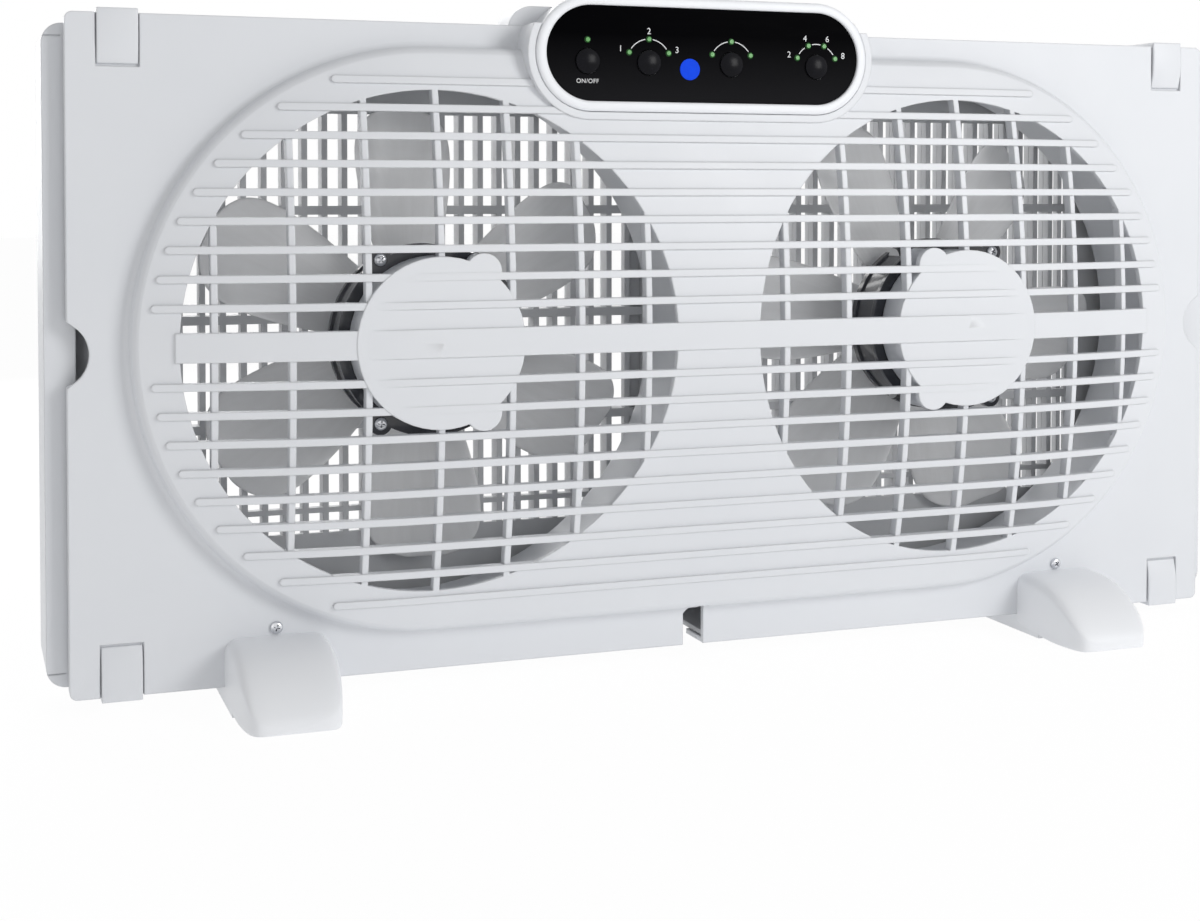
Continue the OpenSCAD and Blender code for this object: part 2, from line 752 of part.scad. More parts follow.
// Slatted screen that slides along the tracks behind the rear grille (right one). Its
// slats and rows stand behind those of the rear grille when it is pushed in.
module screen() {
    x1 = strip_x1 - strip_wall - seat;
    x0 = strip_x0 - screen_len;
    y = [screen_y0, screen_y0 + screen_t];
    z0 = screen_z0 + screen_rail;
    z1 = screen_z1 - screen_rail;
    span([x0, x1], y, [screen_z0, z0]);
    span([x0, x1], y, [z1, screen_z1]);
    for (x = [x0, strip_x0 - screen_rail]) span([x, x + screen_rail], y, [screen_z0, screen_z1]);
    first = ceil((x0 + screen_rail + lattice_pitch / 2) / lattice_pitch);
    last = floor((strip_x0 - screen_rail - lattice_pitch / 2) / lattice_pitch);
    for (i = [first : last])
        span([i * lattice_pitch - slat_t / 2, i * lattice_pitch + slat_t / 2], y, [z0 - past, z1 + past]);
    for (z = rail_places) span([x0 + past, strip_x0 - past], y, [z - rail_t / 2, z + rail_t / 2]);
}

module left_screen() placed() color(lattice_grey) mirror([1, 0, 0]) screen();
module right_screen() placed() color(lattice_grey) screen();

// End strip of a screen: a channel that opens towards the panel (right one).
module end_strip() {
    difference() {
        slab(strip_front, strip_back) intersection() {
            round_rect(strip_x0 - 2 * strip_corner, strip_x1, strip_z0, strip_z1, strip_corner);
            translate([strip_x0, 0]) square([panel_half, panel_h]);
        }
        span([strip_x0 - past, strip_x1 - strip_wall], [strip_front + strip_wall, strip_back - strip_wall],
            [strip_z0 + strip_wall, strip_z1 - strip_wall]);
        // fine joint lines of the end caps
        for (z = [strip_z0 + 6, strip_z1 - 6])
            span([panel_half + past, strip_x1 + past], [strip_front - past, strip_front + 0.6], [z, z + 0.6]);
    }
}

module left_end_strip() placed() color(white) mirror([1, 0, 0]) end_strip();
module right_end_strip() placed() color(white) end_strip();

// Place of a button or light on the label.
module on_label(x, z) at_label() translate([x, 0, z]) children();

// The frame round the label, with a floor that the buttons come through.
module control_bezel() placed() color(white) {
    round_r = 1.5;
    difference() {
        at_label() track_sweep(label_span) {
            translate([0, bezel_back]) square([bezel_half_h - round_r, bezel_front - bezel_back]);
            translate([0, bezel_back]) square([bezel_half_h, bezel_front - bezel_back - round_r]);
            translate([bezel_half_h - round_r, bezel_front - round_r]) circle(round_r);
        }
        at_label() slab(-bezel_front - past, -label_front + label_t) stadium(label_span, label_h / 2 + 0.2);
        label_holes(-bezel_back + past);
    }
}

// Holes for buttons, lights and the receiver window, up to the depth y1.
module label_holes(y1) {
    for (x = [power_x, speed_x, function_x, timer_x])
        on_label(x, -button_drop) rod(button_r + 0.35, -bezel_front - past, y1);
    on_label(window_x, -window_drop) rod(window_r + 0.15, -bezel_front - past, y1);
    at_lights() rod(led_r + 0.15, -bezel_front - past, y1);
}

// One light above the power button, three round speed and function, four round timer.
module at_lights() {
    arc = led_arc_r;
    on_label(power_x, arc - button_drop - 1) children();
    for (x = [speed_x, function_x], angle = [25, 90, 155])
        on_label(x + arc * cos(angle), arc * sin(angle) - button_drop) children();
    for (angle = [22.5, 67.5, 112.5, 157.5])
        on_label(timer_x + arc * cos(angle), arc * sin(angle) - button_drop) children();
}

module control_label() placed() color(black) difference() {
    at_label() slab(-label_front, -label_front + label_t - 0.05) stadium(label_span, label_h / 2);
    label_holes(0);
}

module receiver_window() placed() color([0.12, 0.3, 0.95]) on_label(window_x, -window_drop) {
    rod(window_r, -label_front - 0.3, -bezel_back);
    rod(window_r + 1, -bezel_back + seat, -bezel_back + seat + 1.2);
    rod(2.5, -bezel_back, -board_front - board_t + 1.4);
}

module indicator_lights() placed() color([0.3, 0.8, 0.3]) at_lights()
    rotate([90, 0, 0]) rotate_extrude($fn = 32) {
        translate([0, board_front + 0.1]) square([led_r, label_front - board_front - 0.1]);
        intersection() {
            translate([0, label_front]) circle(led_r);
            square([led_r, label_front + led_r / 2]);
        }
    }

// Circuit board behind the label, standing on four posts.
module control_board() placed() color([0.1, 0.4, 0.2])
    at_label() slab(-board_front, -board_front + board_t) square([label_w - 26, label_h - 12], center = true);

// One small push switch on the board behind each button.
module button_switches() placed() color([0.2, 0.2, 0.22])
    for (x = [power_x, speed_x, function_x, timer_x]) on_label(x, -button_drop) {
        span([-3, 3], [-board_front - 3.5, -board_front - 0.1], [-3, 3]);
        rod(1.7, -board_front - 4.6, -board_front - 3);
    }

// A domed cap with a flange behind the frame and a stem towards its switch.
module button(x) placed() color([0.07, 0.07, 0.09]) on_label(x, -button_drop) {
    dome = 14;
    rotate([90, 0, 0]) rotate_extrude() {
        intersection() {
            translate([0, label_front + button_proud - dome]) circle(dome);
            translate([0, bezel_back - seat - 1]) square([button_r, label_front]);
        }
        translate([0, bezel_back - seat - 1.2]) square([button_r + 1.2, 1.2]);
        translate([0, board_front + 4.6 + button_travel + 0.2])
            square([2, bezel_back - board_front - 5.2 - button_travel]);
    }
}

module power_button() button(power_x);
module speed_button() button(speed_x);
module function_button() button(function_x);
module timer_button() button(timer_x);

// A spring clip over the panel's top edge: its leg dips into the recess in front
// and its hook catches the rim's rear edge.
module clip() {
    half = clip_w / 2;
    front = -clip_t - seat;
    top = panel_h + seat;
    translate([-half, 0, 0]) rotate([90, 0, 90]) linear_extrude(clip_w) {
        polygon([[front, panel_h - clip_leg + 8], [front, top + clip_t - 1], [front + 1, top + clip_t],
            [front + clip_t + 1, top], [-seat, top - 1], [-seat, panel_h - clip_leg + 8],
            [recess_depth - seat, panel_h - clip_leg], [recess_depth - seat - clip_t, panel_h - clip_leg]]);
        polygon([[front + 1, top + clip_t], [rim_depth + seat + clip_t, top + clip_t],
            [rim_depth + seat + clip_t, top - rim_t], [rim_depth + seat, top - rim_t], [rim_depth + seat, top],
            [front + clip_t + 1, top]]);
    }
}

module top_clips() placed() color(white)
    for (side = [-1, 1]) translate([side * clip_x, 0, 0]) clip();

module bottom_clips() placed() color(white)
    for (side = [-1, 1]) translate([side * clip_x, 0, panel_h]) mirror([0, 0, 1]) clip();

// Side view of a foot: a sloping boot in front of the panel and a flat sole under it.
// The inset gives the hollow inside, which is open below.
module foot_side(inset) {
    p = [-4, foot_top];
    q = [-foot_toe, 3 - foot_drop];
    chord = norm(q - p);
    arc_r = (chord * chord / 4 + foot_bulge * foot_bulge) / (2 * foot_bulge);
    across = [p[1] - q[1], q[0] - p[0]] / chord;
    centre = (p + q) / 2 + across * (arc_r - foot_bulge);
    bottom = inset > 0 ? foot_drop + past : foot_drop;
    intersection() {
        translate(centre) circle(arc_r - inset, $fn = 180);
        translate([-foot_toe + inset, -bottom]) square([foot_toe - seat - inset, foot_top + bottom - inset]);
    }
    translate([-foot_toe / 2, -bottom]) square([foot_toe / 2 + body_depth - inset, bottom - seat - inset]);
}

// A hollow foot with a neck and a tongue that is screwed on behind the panel.
module foot(side) placed() color(white) translate([side * foot_x, 0, 0]) {
    neck = foot_w / 2 - neck_inset - 0.5;
    difference() {
        foot_block();
        foot_hollow();
    }
    difference() {
        union() {
            span([-neck, neck], [-past, wall + seat + 3], [8, foot_top - 4]);
            span([-neck, neck], [wall + seat, wall + seat + 3], [8, foot_screw_z + 5]);
        }
        translate([0, 0, foot_screw_z]) rod(1.5, 0, 10);
    }
}

// The foot's side view carried across its width, narrower towards its round toe.
module foot_block() {
    half = foot_w / 2;
    corner = toe_w / 2 - toe_r;
    toe = arc(corner, -foot_toe + toe_r, toe_r, 270, 354, 12);
    intersection() {
        translate([-half, 0, 0]) rotate([90, 0, 90]) linear_extrude(foot_w) foot_side(0);
        slab(-foot_toe - past, body_depth + past)
            round_rect(-half, half, -foot_drop - 2 * foot_edge_r, foot_top, foot_edge_r);
        translate([0, 0, -foot_drop - past]) linear_extrude(foot_top + foot_drop + 2 * past)
            for (m = [0, 1]) mirror([m, 0])
                polygon(concat([[0, -foot_toe]], toe, [[half, 0], [half, body_depth + past], [0, body_depth + past]]));
    }
}

// The room inside a foot, split by two ribs; it stops before the toe's round corners.
module foot_hollow() {
    half = toe_w / 2 - foot_wall;
    low = -foot_drop - 2 * past;
    front = -foot_toe + toe_r * 0.7;
    difference() {
        intersection() {
            translate([-half, 0, 0]) rotate([90, 0, 90]) linear_extrude(2 * half) foot_side(foot_wall);
            span([-foot_w, foot_w], [front, body_depth], [low, foot_top]);
        }
        for (y = [-foot_toe / 2, 0])
            span([-foot_w, foot_w], [y - foot_wall, y], [low - past, foot_top + past]);
    }
}

module left_foot() foot(-1);
module right_foot() foot(1);

module foot_screws() placed() color(steel)
    for (side = [-1, 1]) translate([side * foot_x, -0.1, foot_screw_z]) pan_screw(3, 1.9, 1.4, foot_screw_len, 1);

// Four long screws from behind that join the two mouldings.
module housing_screws() placed() color(steel)
    for (sx = [-1, 1], z = [post_z, panel_h - post_z])
        translate([sx * post_x, plate_back - 5.9, z]) pan_screw(3.2, 2, 1.45, plate_back - 6 - post_split + 8, -1);

// Bushing in the roof of the cord notch; the cord itself is not part of this model.
module cord_bushing() placed() color([0.85, 0.85, 0.87])
    translate([cord_notch_x, bushing_y, cord_notch_h + 1]) difference() {
        union() {
            translate([0, 0, -1.5]) cylinder(r = 5.4, h = 1.4);
            translate([0, 0, -0.5]) cylinder(r = 4.1, h = bushing_len);
        }
        translate([0, 0, -3]) cylinder(r = 2.8, h = bushing_len + 4);
    }

front_shell();
rear_shell();
left_motor();
right_motor();
motor_screws();
left_impeller();
right_impeller();
left_shaft();
right_shaft();
left_hub_nut();
right_hub_nut();
left_screen();
right_screen();
left_end_strip();
right_end_strip();
control_bezel();
control_label();
receiver_window();
indicator_lights();
control_board();
button_switches();
power_button();
speed_button();
function_button();
timer_button();
top_clips();
bottom_clips();
left_foot();
right_foot();
foot_screws();
housing_screws();
cord_bushing();
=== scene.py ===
# %% [markdown]
# # A twin window fan
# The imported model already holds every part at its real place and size: two mouldings,
# motors, fan wheels, screens, buttons and screws. This lesson gives it its looks. Each
# step says what the real piece or finish is, then makes it in the plainest way that
# still holds up in a close view.

import math

import bmesh
import bpy
from mathutils import Matrix, Vector


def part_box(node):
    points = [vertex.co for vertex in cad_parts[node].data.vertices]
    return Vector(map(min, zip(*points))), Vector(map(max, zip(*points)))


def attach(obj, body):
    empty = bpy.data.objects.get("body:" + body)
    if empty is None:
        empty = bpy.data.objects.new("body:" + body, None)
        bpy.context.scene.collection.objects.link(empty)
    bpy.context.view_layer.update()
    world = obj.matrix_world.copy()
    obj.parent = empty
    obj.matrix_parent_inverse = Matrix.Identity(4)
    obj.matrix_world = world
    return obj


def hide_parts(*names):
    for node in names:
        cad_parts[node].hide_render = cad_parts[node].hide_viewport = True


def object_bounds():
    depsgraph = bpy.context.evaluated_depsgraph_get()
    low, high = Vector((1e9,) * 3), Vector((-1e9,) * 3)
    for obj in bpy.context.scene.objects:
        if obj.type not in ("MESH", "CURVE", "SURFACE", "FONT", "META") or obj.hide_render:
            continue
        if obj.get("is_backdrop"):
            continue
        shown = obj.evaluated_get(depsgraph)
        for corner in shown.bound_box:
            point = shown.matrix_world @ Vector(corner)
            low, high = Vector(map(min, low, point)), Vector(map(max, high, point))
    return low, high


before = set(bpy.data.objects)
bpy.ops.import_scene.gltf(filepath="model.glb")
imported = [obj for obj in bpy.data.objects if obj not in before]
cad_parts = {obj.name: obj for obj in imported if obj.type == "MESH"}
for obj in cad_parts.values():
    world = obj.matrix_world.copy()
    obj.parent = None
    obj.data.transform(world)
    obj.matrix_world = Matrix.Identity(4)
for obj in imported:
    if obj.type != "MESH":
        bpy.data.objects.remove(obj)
cad_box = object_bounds()
MM = 0.001

# %% [markdown]
# ## The camera
# The fan is seen from its left and a little above, from less than a metre away, so the
# left end looks much larger than the right. A lens of 54 mm at that distance gives the
# same convergence. The fan stands in the upper part of the frame although the camera
# looks almost level, which is what a shifted lens does.

# %% Camera
STRIP_SET_BACK = 10 * MM
PANEL_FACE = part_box("left_end_strip")[0].y - STRIP_SET_BACK
PANEL_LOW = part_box("front_shell")[0].z
CAMERA_PLACE = (-0.35577, PANEL_FACE - 0.83694, PANEL_LOW + 0.22912)
# How far the camera turns to the right and dips, in radians.
CAMERA_TURN = 0.348
CAMERA_DIP = 0.029
CAMERA_LENS = 54
CAMERA_SHIFT = -0.18

bpy.ops.object.camera_add(
    location=CAMERA_PLACE,
    rotation=(math.pi / 2 - CAMERA_DIP, 0, -CAMERA_TURN),
)
camera = bpy.context.object
camera.data.lens = CAMERA_LENS
camera.data.sensor_width = 36
camera.data.shift_y = CAMERA_SHIFT
bpy.context.scene.camera = camera
bpy.context.scene.view_settings.view_transform = "Standard"
print("camera looks", round(math.degrees(CAMERA_TURN), 1), "degrees towards the right")


# %% [markdown]
# ## Writing materials as sums
# A finish on moulded plastic is mostly arithmetic on noise: a little darker here, a
# little rougher there. A small class wraps the output of a node, so that a sum in
# Python adds the Math nodes, and one method adds any other node.

# %% Values
class Value:
    """The output of a node. Sums and products with it add Math nodes."""

    def __init__(self, graph, socket):
        self.graph = graph
        self.socket = socket

    def math(self, operation, *values, clamp=False):
        settings = {"operation": operation, "use_clamp": clamp}
        return self.graph.node("Math", settings, dict(enumerate(values)))

    def __add__(self, other):
        return self.math("ADD", self, other)

    def __radd__(self, other):
        return self.math("ADD", other, self)

    def __sub__(self, other):
        return self.math("SUBTRACT", self, other)

    def __rsub__(self, other):
        return self.math("SUBTRACT", other, self)

    def __mul__(self, other):
        return self.math("MULTIPLY", self, other)

    def __rmul__(self, other):
        return self.math("MULTIPLY", other, self)

    def __truediv__(self, other):
        return self.math("DIVIDE", self, other)

    def __pow__(self, other):
        return self.math("POWER", self, other)

    def clamped(self):
        return self.math("ADD", self, 0.0, clamp=True)

    def above(self, edge, softness):
        """0 well below the edge and 1 well above it."""
        return self.math("MULTIPLY_ADD", self, 1 / softness, 0.5 - edge / softness, clamp=True)


print("values add up, subtract, multiply, divide and clamp")


# %% Graphs
class Graph:
    """The node tree of a material or of the world."""

    def __init__(self, owner):
        owner.use_nodes = True
        self.tree = owner.node_tree

    def put(self, socket, value):
        if isinstance(value, Value):
            self.tree.links.new(value.socket, socket)
        else:
            socket.default_value = value

    def node(self, kind, settings=None, inputs=None, output=0):
        node = self.tree.nodes.new("ShaderNode" + kind)
        for name, value in (settings or {}).items():
            setattr(node, name, value)
        for name, value in (inputs or {}).items():
            self.put(node.inputs[name], value)
        return Value(self, node.outputs[output])


print("a graph puts values and nodes together")


# %% [markdown]
# A finish is a material with one shader. Its patterns are placed by Object
# coordinates: every part's object sits at the origin, so these are metres in the
# fan's own frame, and grain has the same size on every part.

# %% Finishes
def grey(level, blue=1.0):
    """A colour from the brightness that is seen, 0 to 1, and a tint towards blue."""
    linear = level ** 2.2
    return (linear, linear * (1 + 0.35 * (blue - 1)), linear * blue, 1)


class Finish(Graph):
    """A material with one Principled shader."""

    def __init__(self, name, **fixed):
        self.material = bpy.data.materials.new(name)
        super().__init__(self.material)
        self.shader = self.tree.nodes["Principled BSDF"]
        self.place = self.node("TexCoord", output="Object")
        for socket, value in fixed.items():
            self.set(socket.replace("_", " "), value)

    def set(self, socket, value):
        self.put(self.shader.inputs[socket], value)

    def noise(self, size, detail=2, stretch=(1, 1, 1)):
        """Cloudy noise whose lumps are about size metres across."""
        along = self.node(
            "Mapping", {"vector_type": "POINT"}, {"Vector": self.place, "Scale": stretch}
        )
        inputs = {"Vector": along, "Scale": 1 / size, "Detail": detail, "Roughness": 0.55}
        return self.node("TexNoise", {"noise_dimensions": "3D"}, inputs)

    def mix(self, share, first, second):
        """The first colour where the share is 0, and the second where it is 1."""
        inputs = {0: share, 6: first, 7: second}
        return self.node("Mix", {"data_type": "RGBA"}, inputs, output=2)

    def bump(self, height, depth, normal=None):
        """A normal bent by a height, which is depth metres high at 1."""
        inputs = {"Height": height, "Distance": depth, "Strength": 1.0}
        if normal is not None:
            inputs["Normal"] = normal
        return self.node("Bump", None, inputs)

    def soft_edge(self, radius):
        """The normal of edges rounded to a radius, and a mask of where they are."""
        rounded = self.node("Bevel", {"samples": 6}, {"Radius": radius})
        true = self.node("NewGeometry", output="True Normal")
        along = self.node(
            "VectorMath", {"operation": "DOT_PRODUCT"}, {0: rounded, 1: true}, output="Value"
        )
        return rounded, (1 - along).above(edge=0.12, softness=0.2)


def moulded_plastic(name, light, dark, grain, roughness, edge, painted_edge_highlight):
    """Moulded plastic: its pigment drifts slightly, its surface has the fine grain of
    the mould, handling changes the gloss in patches, and soft edges get a painted highlight."""
    finish = Finish(name, IOR=1.49)
    rounded, edges = finish.soft_edge(edge)
    pigment = finish.noise(0.07, detail=3)
    patches = finish.noise(0.022, detail=4)
    pits = finish.noise(grain, detail=2)
    specks = finish.noise(0.0016, detail=1).above(edge=0.74, softness=0.03)
    tone = finish.mix(pigment, dark, light)
    tone = finish.mix(specks * 0.12, tone, dark)
    # Painted highlight: the rounded edges are mixed towards white.
    tone = finish.mix(edges * painted_edge_highlight, tone, (1, 1, 1, 1))
    finish.set("Base Color", tone)
    finish.set("Roughness", roughness - 0.07 + patches * 0.14 + edges * 0.05)
    finish.set("Normal", finish.bump(pits + patches * 0.5, grain * 0.05, rounded))
    return finish


print("noise, mix, bump and soft edges are ready")

# %% [markdown]
# ## White housing
# The front moulding, the clips and the end strips are satin white plastic with a cool
# tint. The frame of the label and the feet are a purer white. The rear moulding and the
# screens are the same white plastic made greyer, a painted shade for the shade they stand
# in. Real mouldings have no sharp edge: the mould has a small radius everywhere. Rounding
# thousands of bar edges in the mesh would be heavy, so a Bevel node bends the normals
# instead, which looks the same at this scale.

# %% Housing plastics
housing_white = moulded_plastic(
    "housing_white", light=grey(0.875, 1.055), dark=grey(0.855, 1.07),
    grain=0.0005, roughness=0.42, edge=0.0011, painted_edge_highlight=0.2,
)
frame_white = moulded_plastic(
    "frame_white", light=grey(0.94, 1.05), dark=grey(0.925, 1.06),
    grain=0.0005, roughness=0.4, edge=0.0028, painted_edge_highlight=0.05,
)
foot_white = moulded_plastic(
    "foot_white", light=grey(0.94, 1.04), dark=grey(0.925, 1.05),
    grain=0.0005, roughness=0.45, edge=0.0008, painted_edge_highlight=0.0,
)
# Painted shade: the housing's white plastic, made greyer for the shade that the rear moulding
# and the screens stand in.
screen_white_painted_shade = moulded_plastic(
    "screen_white_painted_shade", light=grey(0.80, 1.04), dark=grey(0.76, 1.05),
    grain=0.0005, roughness=0.5, edge=0.0006, painted_edge_highlight=0.1,
)
print("housing, frame, foot and screen plastics")

# %% [markdown]
# ## Blade plastic
# The wheels are a softer, slightly milky grey plastic. The melt runs from the hub out
# to the tips and leaves faint streaks, and the blades are made a little darker and
# rougher towards their tips. Distance from each wheel's axis drives both.

# %% Blade plastic
def middle(node):
    """The middle of a part's box."""
    low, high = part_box(node)
    return (low + high) / 2


LEFT_AXIS = middle("left_hub_nut")
RIGHT_AXIS = middle("right_hub_nut")
BLADE_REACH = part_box("left_impeller")[1].x - middle("left_impeller").x
# How many streaks there are to a radian, and to the length of a blade.
STREAKS_ROUND = 22
STREAKS_ALONG = 2.2


def blade_plastic(name, axis):
    finish = Finish(name, IOR=1.49)
    rounded, edges = finish.soft_edge(0.0009)
    centred = finish.node(
        "VectorMath", {"operation": "SUBTRACT"}, {0: finish.place, 1: axis}
    )
    apart = finish.node("SeparateXYZ", None, {"Vector": centred}, output="X")
    height = finish.node("SeparateXYZ", None, {"Vector": centred}, output="Z")
    reach = (apart * apart + height * height) ** 0.5 / BLADE_REACH
    angle = finish.node("Math", {"operation": "ARCTAN2"}, {0: height, 1: apart})
    polar = finish.node(
        "CombineXYZ", None, {"X": angle * STREAKS_ROUND, "Y": reach * STREAKS_ALONG, "Z": 0.0}
    )
    streaks = finish.node(
        "TexNoise", {"noise_dimensions": "2D"}, {"Vector": polar, "Scale": 1.0, "Detail": 3}
    )
    # Darker and rougher towards the tips, in cloudy patches.
    film = (reach * 0.7 + finish.noise(0.012, detail=4) * 0.5 - 0.45).clamped()
    tone = finish.mix(streaks, grey(0.90, 1.01), grey(0.94, 1.02))
    tone = finish.mix(film * 0.25, tone, grey(0.8, 0.97))
    # Painted highlight: the rounded edges are mixed towards a paler grey.
    tone = finish.mix(edges * 0.15, tone, grey(0.93))
    finish.set("Base Color", tone)
    finish.set("Roughness", 0.34 + streaks * 0.08 + film * 0.2)
    pits = finish.noise(0.0007)
    finish.set("Normal", finish.bump(streaks * 2 + pits, 0.00004, rounded))
    return finish


left_blades = blade_plastic("left_blade_grey", LEFT_AXIS)
right_blades = blade_plastic("right_blade_grey", RIGHT_AXIS)
print("blade reach", round(BLADE_REACH / MM), "mm")

# %% [markdown]
# ## Motors
# The motor housings are stamped steel under thick near-black enamel. Such enamel has
# a clear glossy skin, a faint blue cast and the long waves called orange peel.

# %% Motor enamel
def motor_enamel():
    finish = Finish("motor_enamel", IOR=1.55, Coat_Roughness=0.08)
    rounded, edges = finish.soft_edge(0.0008)
    peel = finish.noise(0.0025, detail=2)
    patches = finish.noise(0.015, detail=4)
    tone = finish.mix(patches, (0.006, 0.007, 0.011, 1), (0.017, 0.02, 0.032, 1))
    # Painted highlight: the rounded edges are mixed towards a lighter blue-grey.
    tone = finish.mix(edges * 0.5, tone, (0.09, 0.1, 0.13, 1))
    finish.set("Base Color", tone)
    finish.set("Roughness", 0.25 + patches * 0.2)
    finish.set("Coat Weight", 0.75 - patches * 0.3)
    finish.set("Normal", finish.bump(peel, 0.00008, rounded))
    return finish


enamel = motor_enamel()
print("motor enamel")

# %% [markdown]
# ## Metals
# Screws are steel with a bright zinc coat, which is never quite even: fine crystals
# and rubbed patches change how rough it is. The shafts are ground steel, with fine
# rings round their length that a stretched noise imitates.

# %% Zinc and ground steel
def bright_zinc():
    finish = Finish("bright_zinc", Metallic=1.0)
    rounded, edges = finish.soft_edge(0.00015)
    crystals = finish.noise(0.0004, detail=3)
    rubbed = finish.noise(0.002, detail=3)
    tone = finish.mix(rubbed, (0.56, 0.57, 0.6, 1), (0.78, 0.79, 0.81, 1))
    finish.set("Base Color", tone)
    finish.set("Roughness", 0.16 + crystals * 0.14 + edges * 0.08)
    finish.set("Normal", finish.bump(crystals, 0.00001, rounded))
    return finish


def ground_steel():
    finish = Finish("ground_steel", Metallic=1.0)
    rings = finish.noise(0.0003, detail=2, stretch=(0.05, 1, 0.05))
    oil = finish.noise(0.004, detail=3)
    finish.set("Base Color", finish.mix(oil, (0.5, 0.5, 0.51, 1), (0.66, 0.66, 0.67, 1)))
    finish.set("Roughness", 0.18 + rings * 0.15)
    finish.set("Normal", finish.bump(rings, 0.00001))
    return finish


zinc = bright_zinc()
steel = ground_steel()
print("zinc and steel")

# %% [markdown]
# ## The label
# The label is a printed film with a dull clear skin. It is deep black, with the slight
# waviness of a glued film and fine wiping marks round the buttons; its lower part is made
# a little lighter, a painted reflection. Its skin reflects much less than bare plastic
# does, so its specular level is low.

# %% Label film and inks
LABEL_LOW, LABEL_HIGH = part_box("control_label")


def label_film():
    finish = Finish("label_film", IOR=1.5, Specular_IOR_Level=0.008)
    height = finish.node("SeparateXYZ", None, {"Vector": finish.place}, output="Z")
    rise = (height - LABEL_LOW.z) / (LABEL_HIGH.z - LABEL_LOW.z)
    waves = finish.noise(0.012, detail=2)
    wiped = finish.noise(0.003, detail=4, stretch=(0.15, 1, 1))
    # Painted reflection: the label is lighter towards its lower edge.
    painted_reflection_tone, high_tone = (0.012, 0.012, 0.0135, 1), (0.0005, 0.0005, 0.0009, 1)
    finish.set("Base Color", finish.mix((rise * 1.4).clamped(), painted_reflection_tone, high_tone))
    finish.set("Roughness", 0.28 + wiped * 0.16)
    finish.set("Normal", finish.bump(waves, 0.00006))
    return finish


def printed_ink():
    finish = Finish("printed_ink", IOR=1.45)
    screen_mesh = finish.noise(0.00018, detail=1)
    cover = finish.noise(0.0009, detail=3)
    finish.set("Base Color", finish.mix(cover, (0.62, 0.63, 0.64, 1), (0.86, 0.87, 0.88, 1)))
    finish.set("Roughness", 0.4 + screen_mesh * 0.2)
    finish.set("Normal", finish.bump(screen_mesh, 0.00001))
    return finish


def button_rubber():
    finish = Finish("button_rubber", IOR=1.5, Specular_IOR_Level=0.1)
    rounded, edges = finish.soft_edge(0.0006)
    skin = finish.noise(0.00025, detail=2)
    touched = finish.noise(0.004, detail=3)
    tone = finish.mix(touched, (0.003, 0.003, 0.004, 1), (0.006, 0.006, 0.009, 1))
    # Painted highlight: the rounded rims are mixed towards a lighter grey.
    finish.set("Base Color", finish.mix(edges * 0.4, tone, (0.02, 0.02, 0.025, 1)))
    finish.set("Roughness", 0.2 + touched * 0.12)
    finish.set("Normal", finish.bump(skin, 0.000006, rounded))
    return finish


def receiver_blue():
    # Painted light: the window glows faintly in its own blue, though it is no lamp.
    finish = Finish("receiver_blue", IOR=1.5, Specular_IOR_Level=0.05, Emission_Strength=0.2)
    haze = finish.noise(0.002, detail=3)
    tone = finish.mix(haze, (0.001, 0.045, 0.60, 1), (0.002, 0.06, 0.72, 1))
    finish.set("Base Color", tone)
    finish.set("Emission Color", tone)
    finish.set("Roughness", 0.25 + haze * 0.12)
    finish.set("Normal", finish.bump(haze, 0.00002))
    return finish


film = label_film()
ink = printed_ink()
rubber = button_rubber()
blue = receiver_blue()
print("label", round((LABEL_HIGH.x - LABEL_LOW.x) / MM), "mm long")

# %% [markdown]
# ## Parts inside
# The circuit board and its switches sit behind the label. They show only when the fan
# is taken apart, and still get their own look: green lacquer over woven glass with
# copper tracks under it, and black switch bodies.

# %% Board, switches and bushing
def board_lacquer():
    finish = Finish("board_lacquer", IOR=1.55)
    weave = finish.node(
        "TexWave", {"wave_type": "BANDS", "bands_direction": "X"},
        {"Vector": finish.place, "Scale": 400.0, "Distortion": 1.0, "Detail": 1.0},
    )
    upright = finish.node(
        "Mapping", None, {"Vector": finish.place, "Rotation": (math.pi / 2, 0, 0)}
    )
    black, white = (0, 0, 0, 1), (1, 1, 1, 1)
    tracks = finish.node(
        "TexBrick", None,
        {"Vector": upright, "Scale": 60.0, "Mortar Size": 0.03,
         "Color1": black, "Color2": black, "Mortar": white},
    )
    tone = finish.mix(weave, (0.01, 0.12, 0.045, 1), (0.014, 0.15, 0.055, 1))
    finish.set("Base Color", finish.mix(tracks, tone, (0.03, 0.26, 0.08, 1)))
    finish.set("Roughness", 0.3 + weave * 0.1)
    finish.set("Normal", finish.bump(weave, 0.00002))
    return finish


board = board_lacquer()
switch_black = moulded_plastic(
    "switch_black", light=grey(0.2), dark=grey(0.15),
    grain=0.0003, roughness=0.45, edge=0.0003, painted_edge_highlight=0.05,
)
bushing_grey = moulded_plastic(
    "bushing_grey", light=grey(0.86), dark=grey(0.82),
    grain=0.0004, roughness=0.55, edge=0.0004, painted_edge_highlight=0.1,
)
print("board, switches and bushing")

# %% [markdown]
# ## Dress the parts
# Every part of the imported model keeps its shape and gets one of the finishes.

# %% Assign the finishes
DRESS = {
    housing_white: ["front_shell", "left_end_strip", "right_end_strip",
                    "top_clips", "bottom_clips"],
    frame_white: ["control_bezel"],
    screen_white_painted_shade: ["rear_shell", "left_screen", "right_screen"],
    foot_white: ["left_foot", "right_foot"],
    left_blades: ["left_impeller", "left_hub_nut"],
    right_blades: ["right_impeller", "right_hub_nut"],
    enamel: ["left_motor", "right_motor"],
    zinc: ["motor_screws", "foot_screws", "housing_screws"],
    steel: ["left_shaft", "right_shaft"],
    film: ["control_label"],
    rubber: ["power_button", "speed_button", "function_button", "timer_button"],
    blue: ["receiver_window"],
    board: ["control_board"],
    switch_black: ["button_switches"],
    bushing_grey: ["cord_bushing"],
}


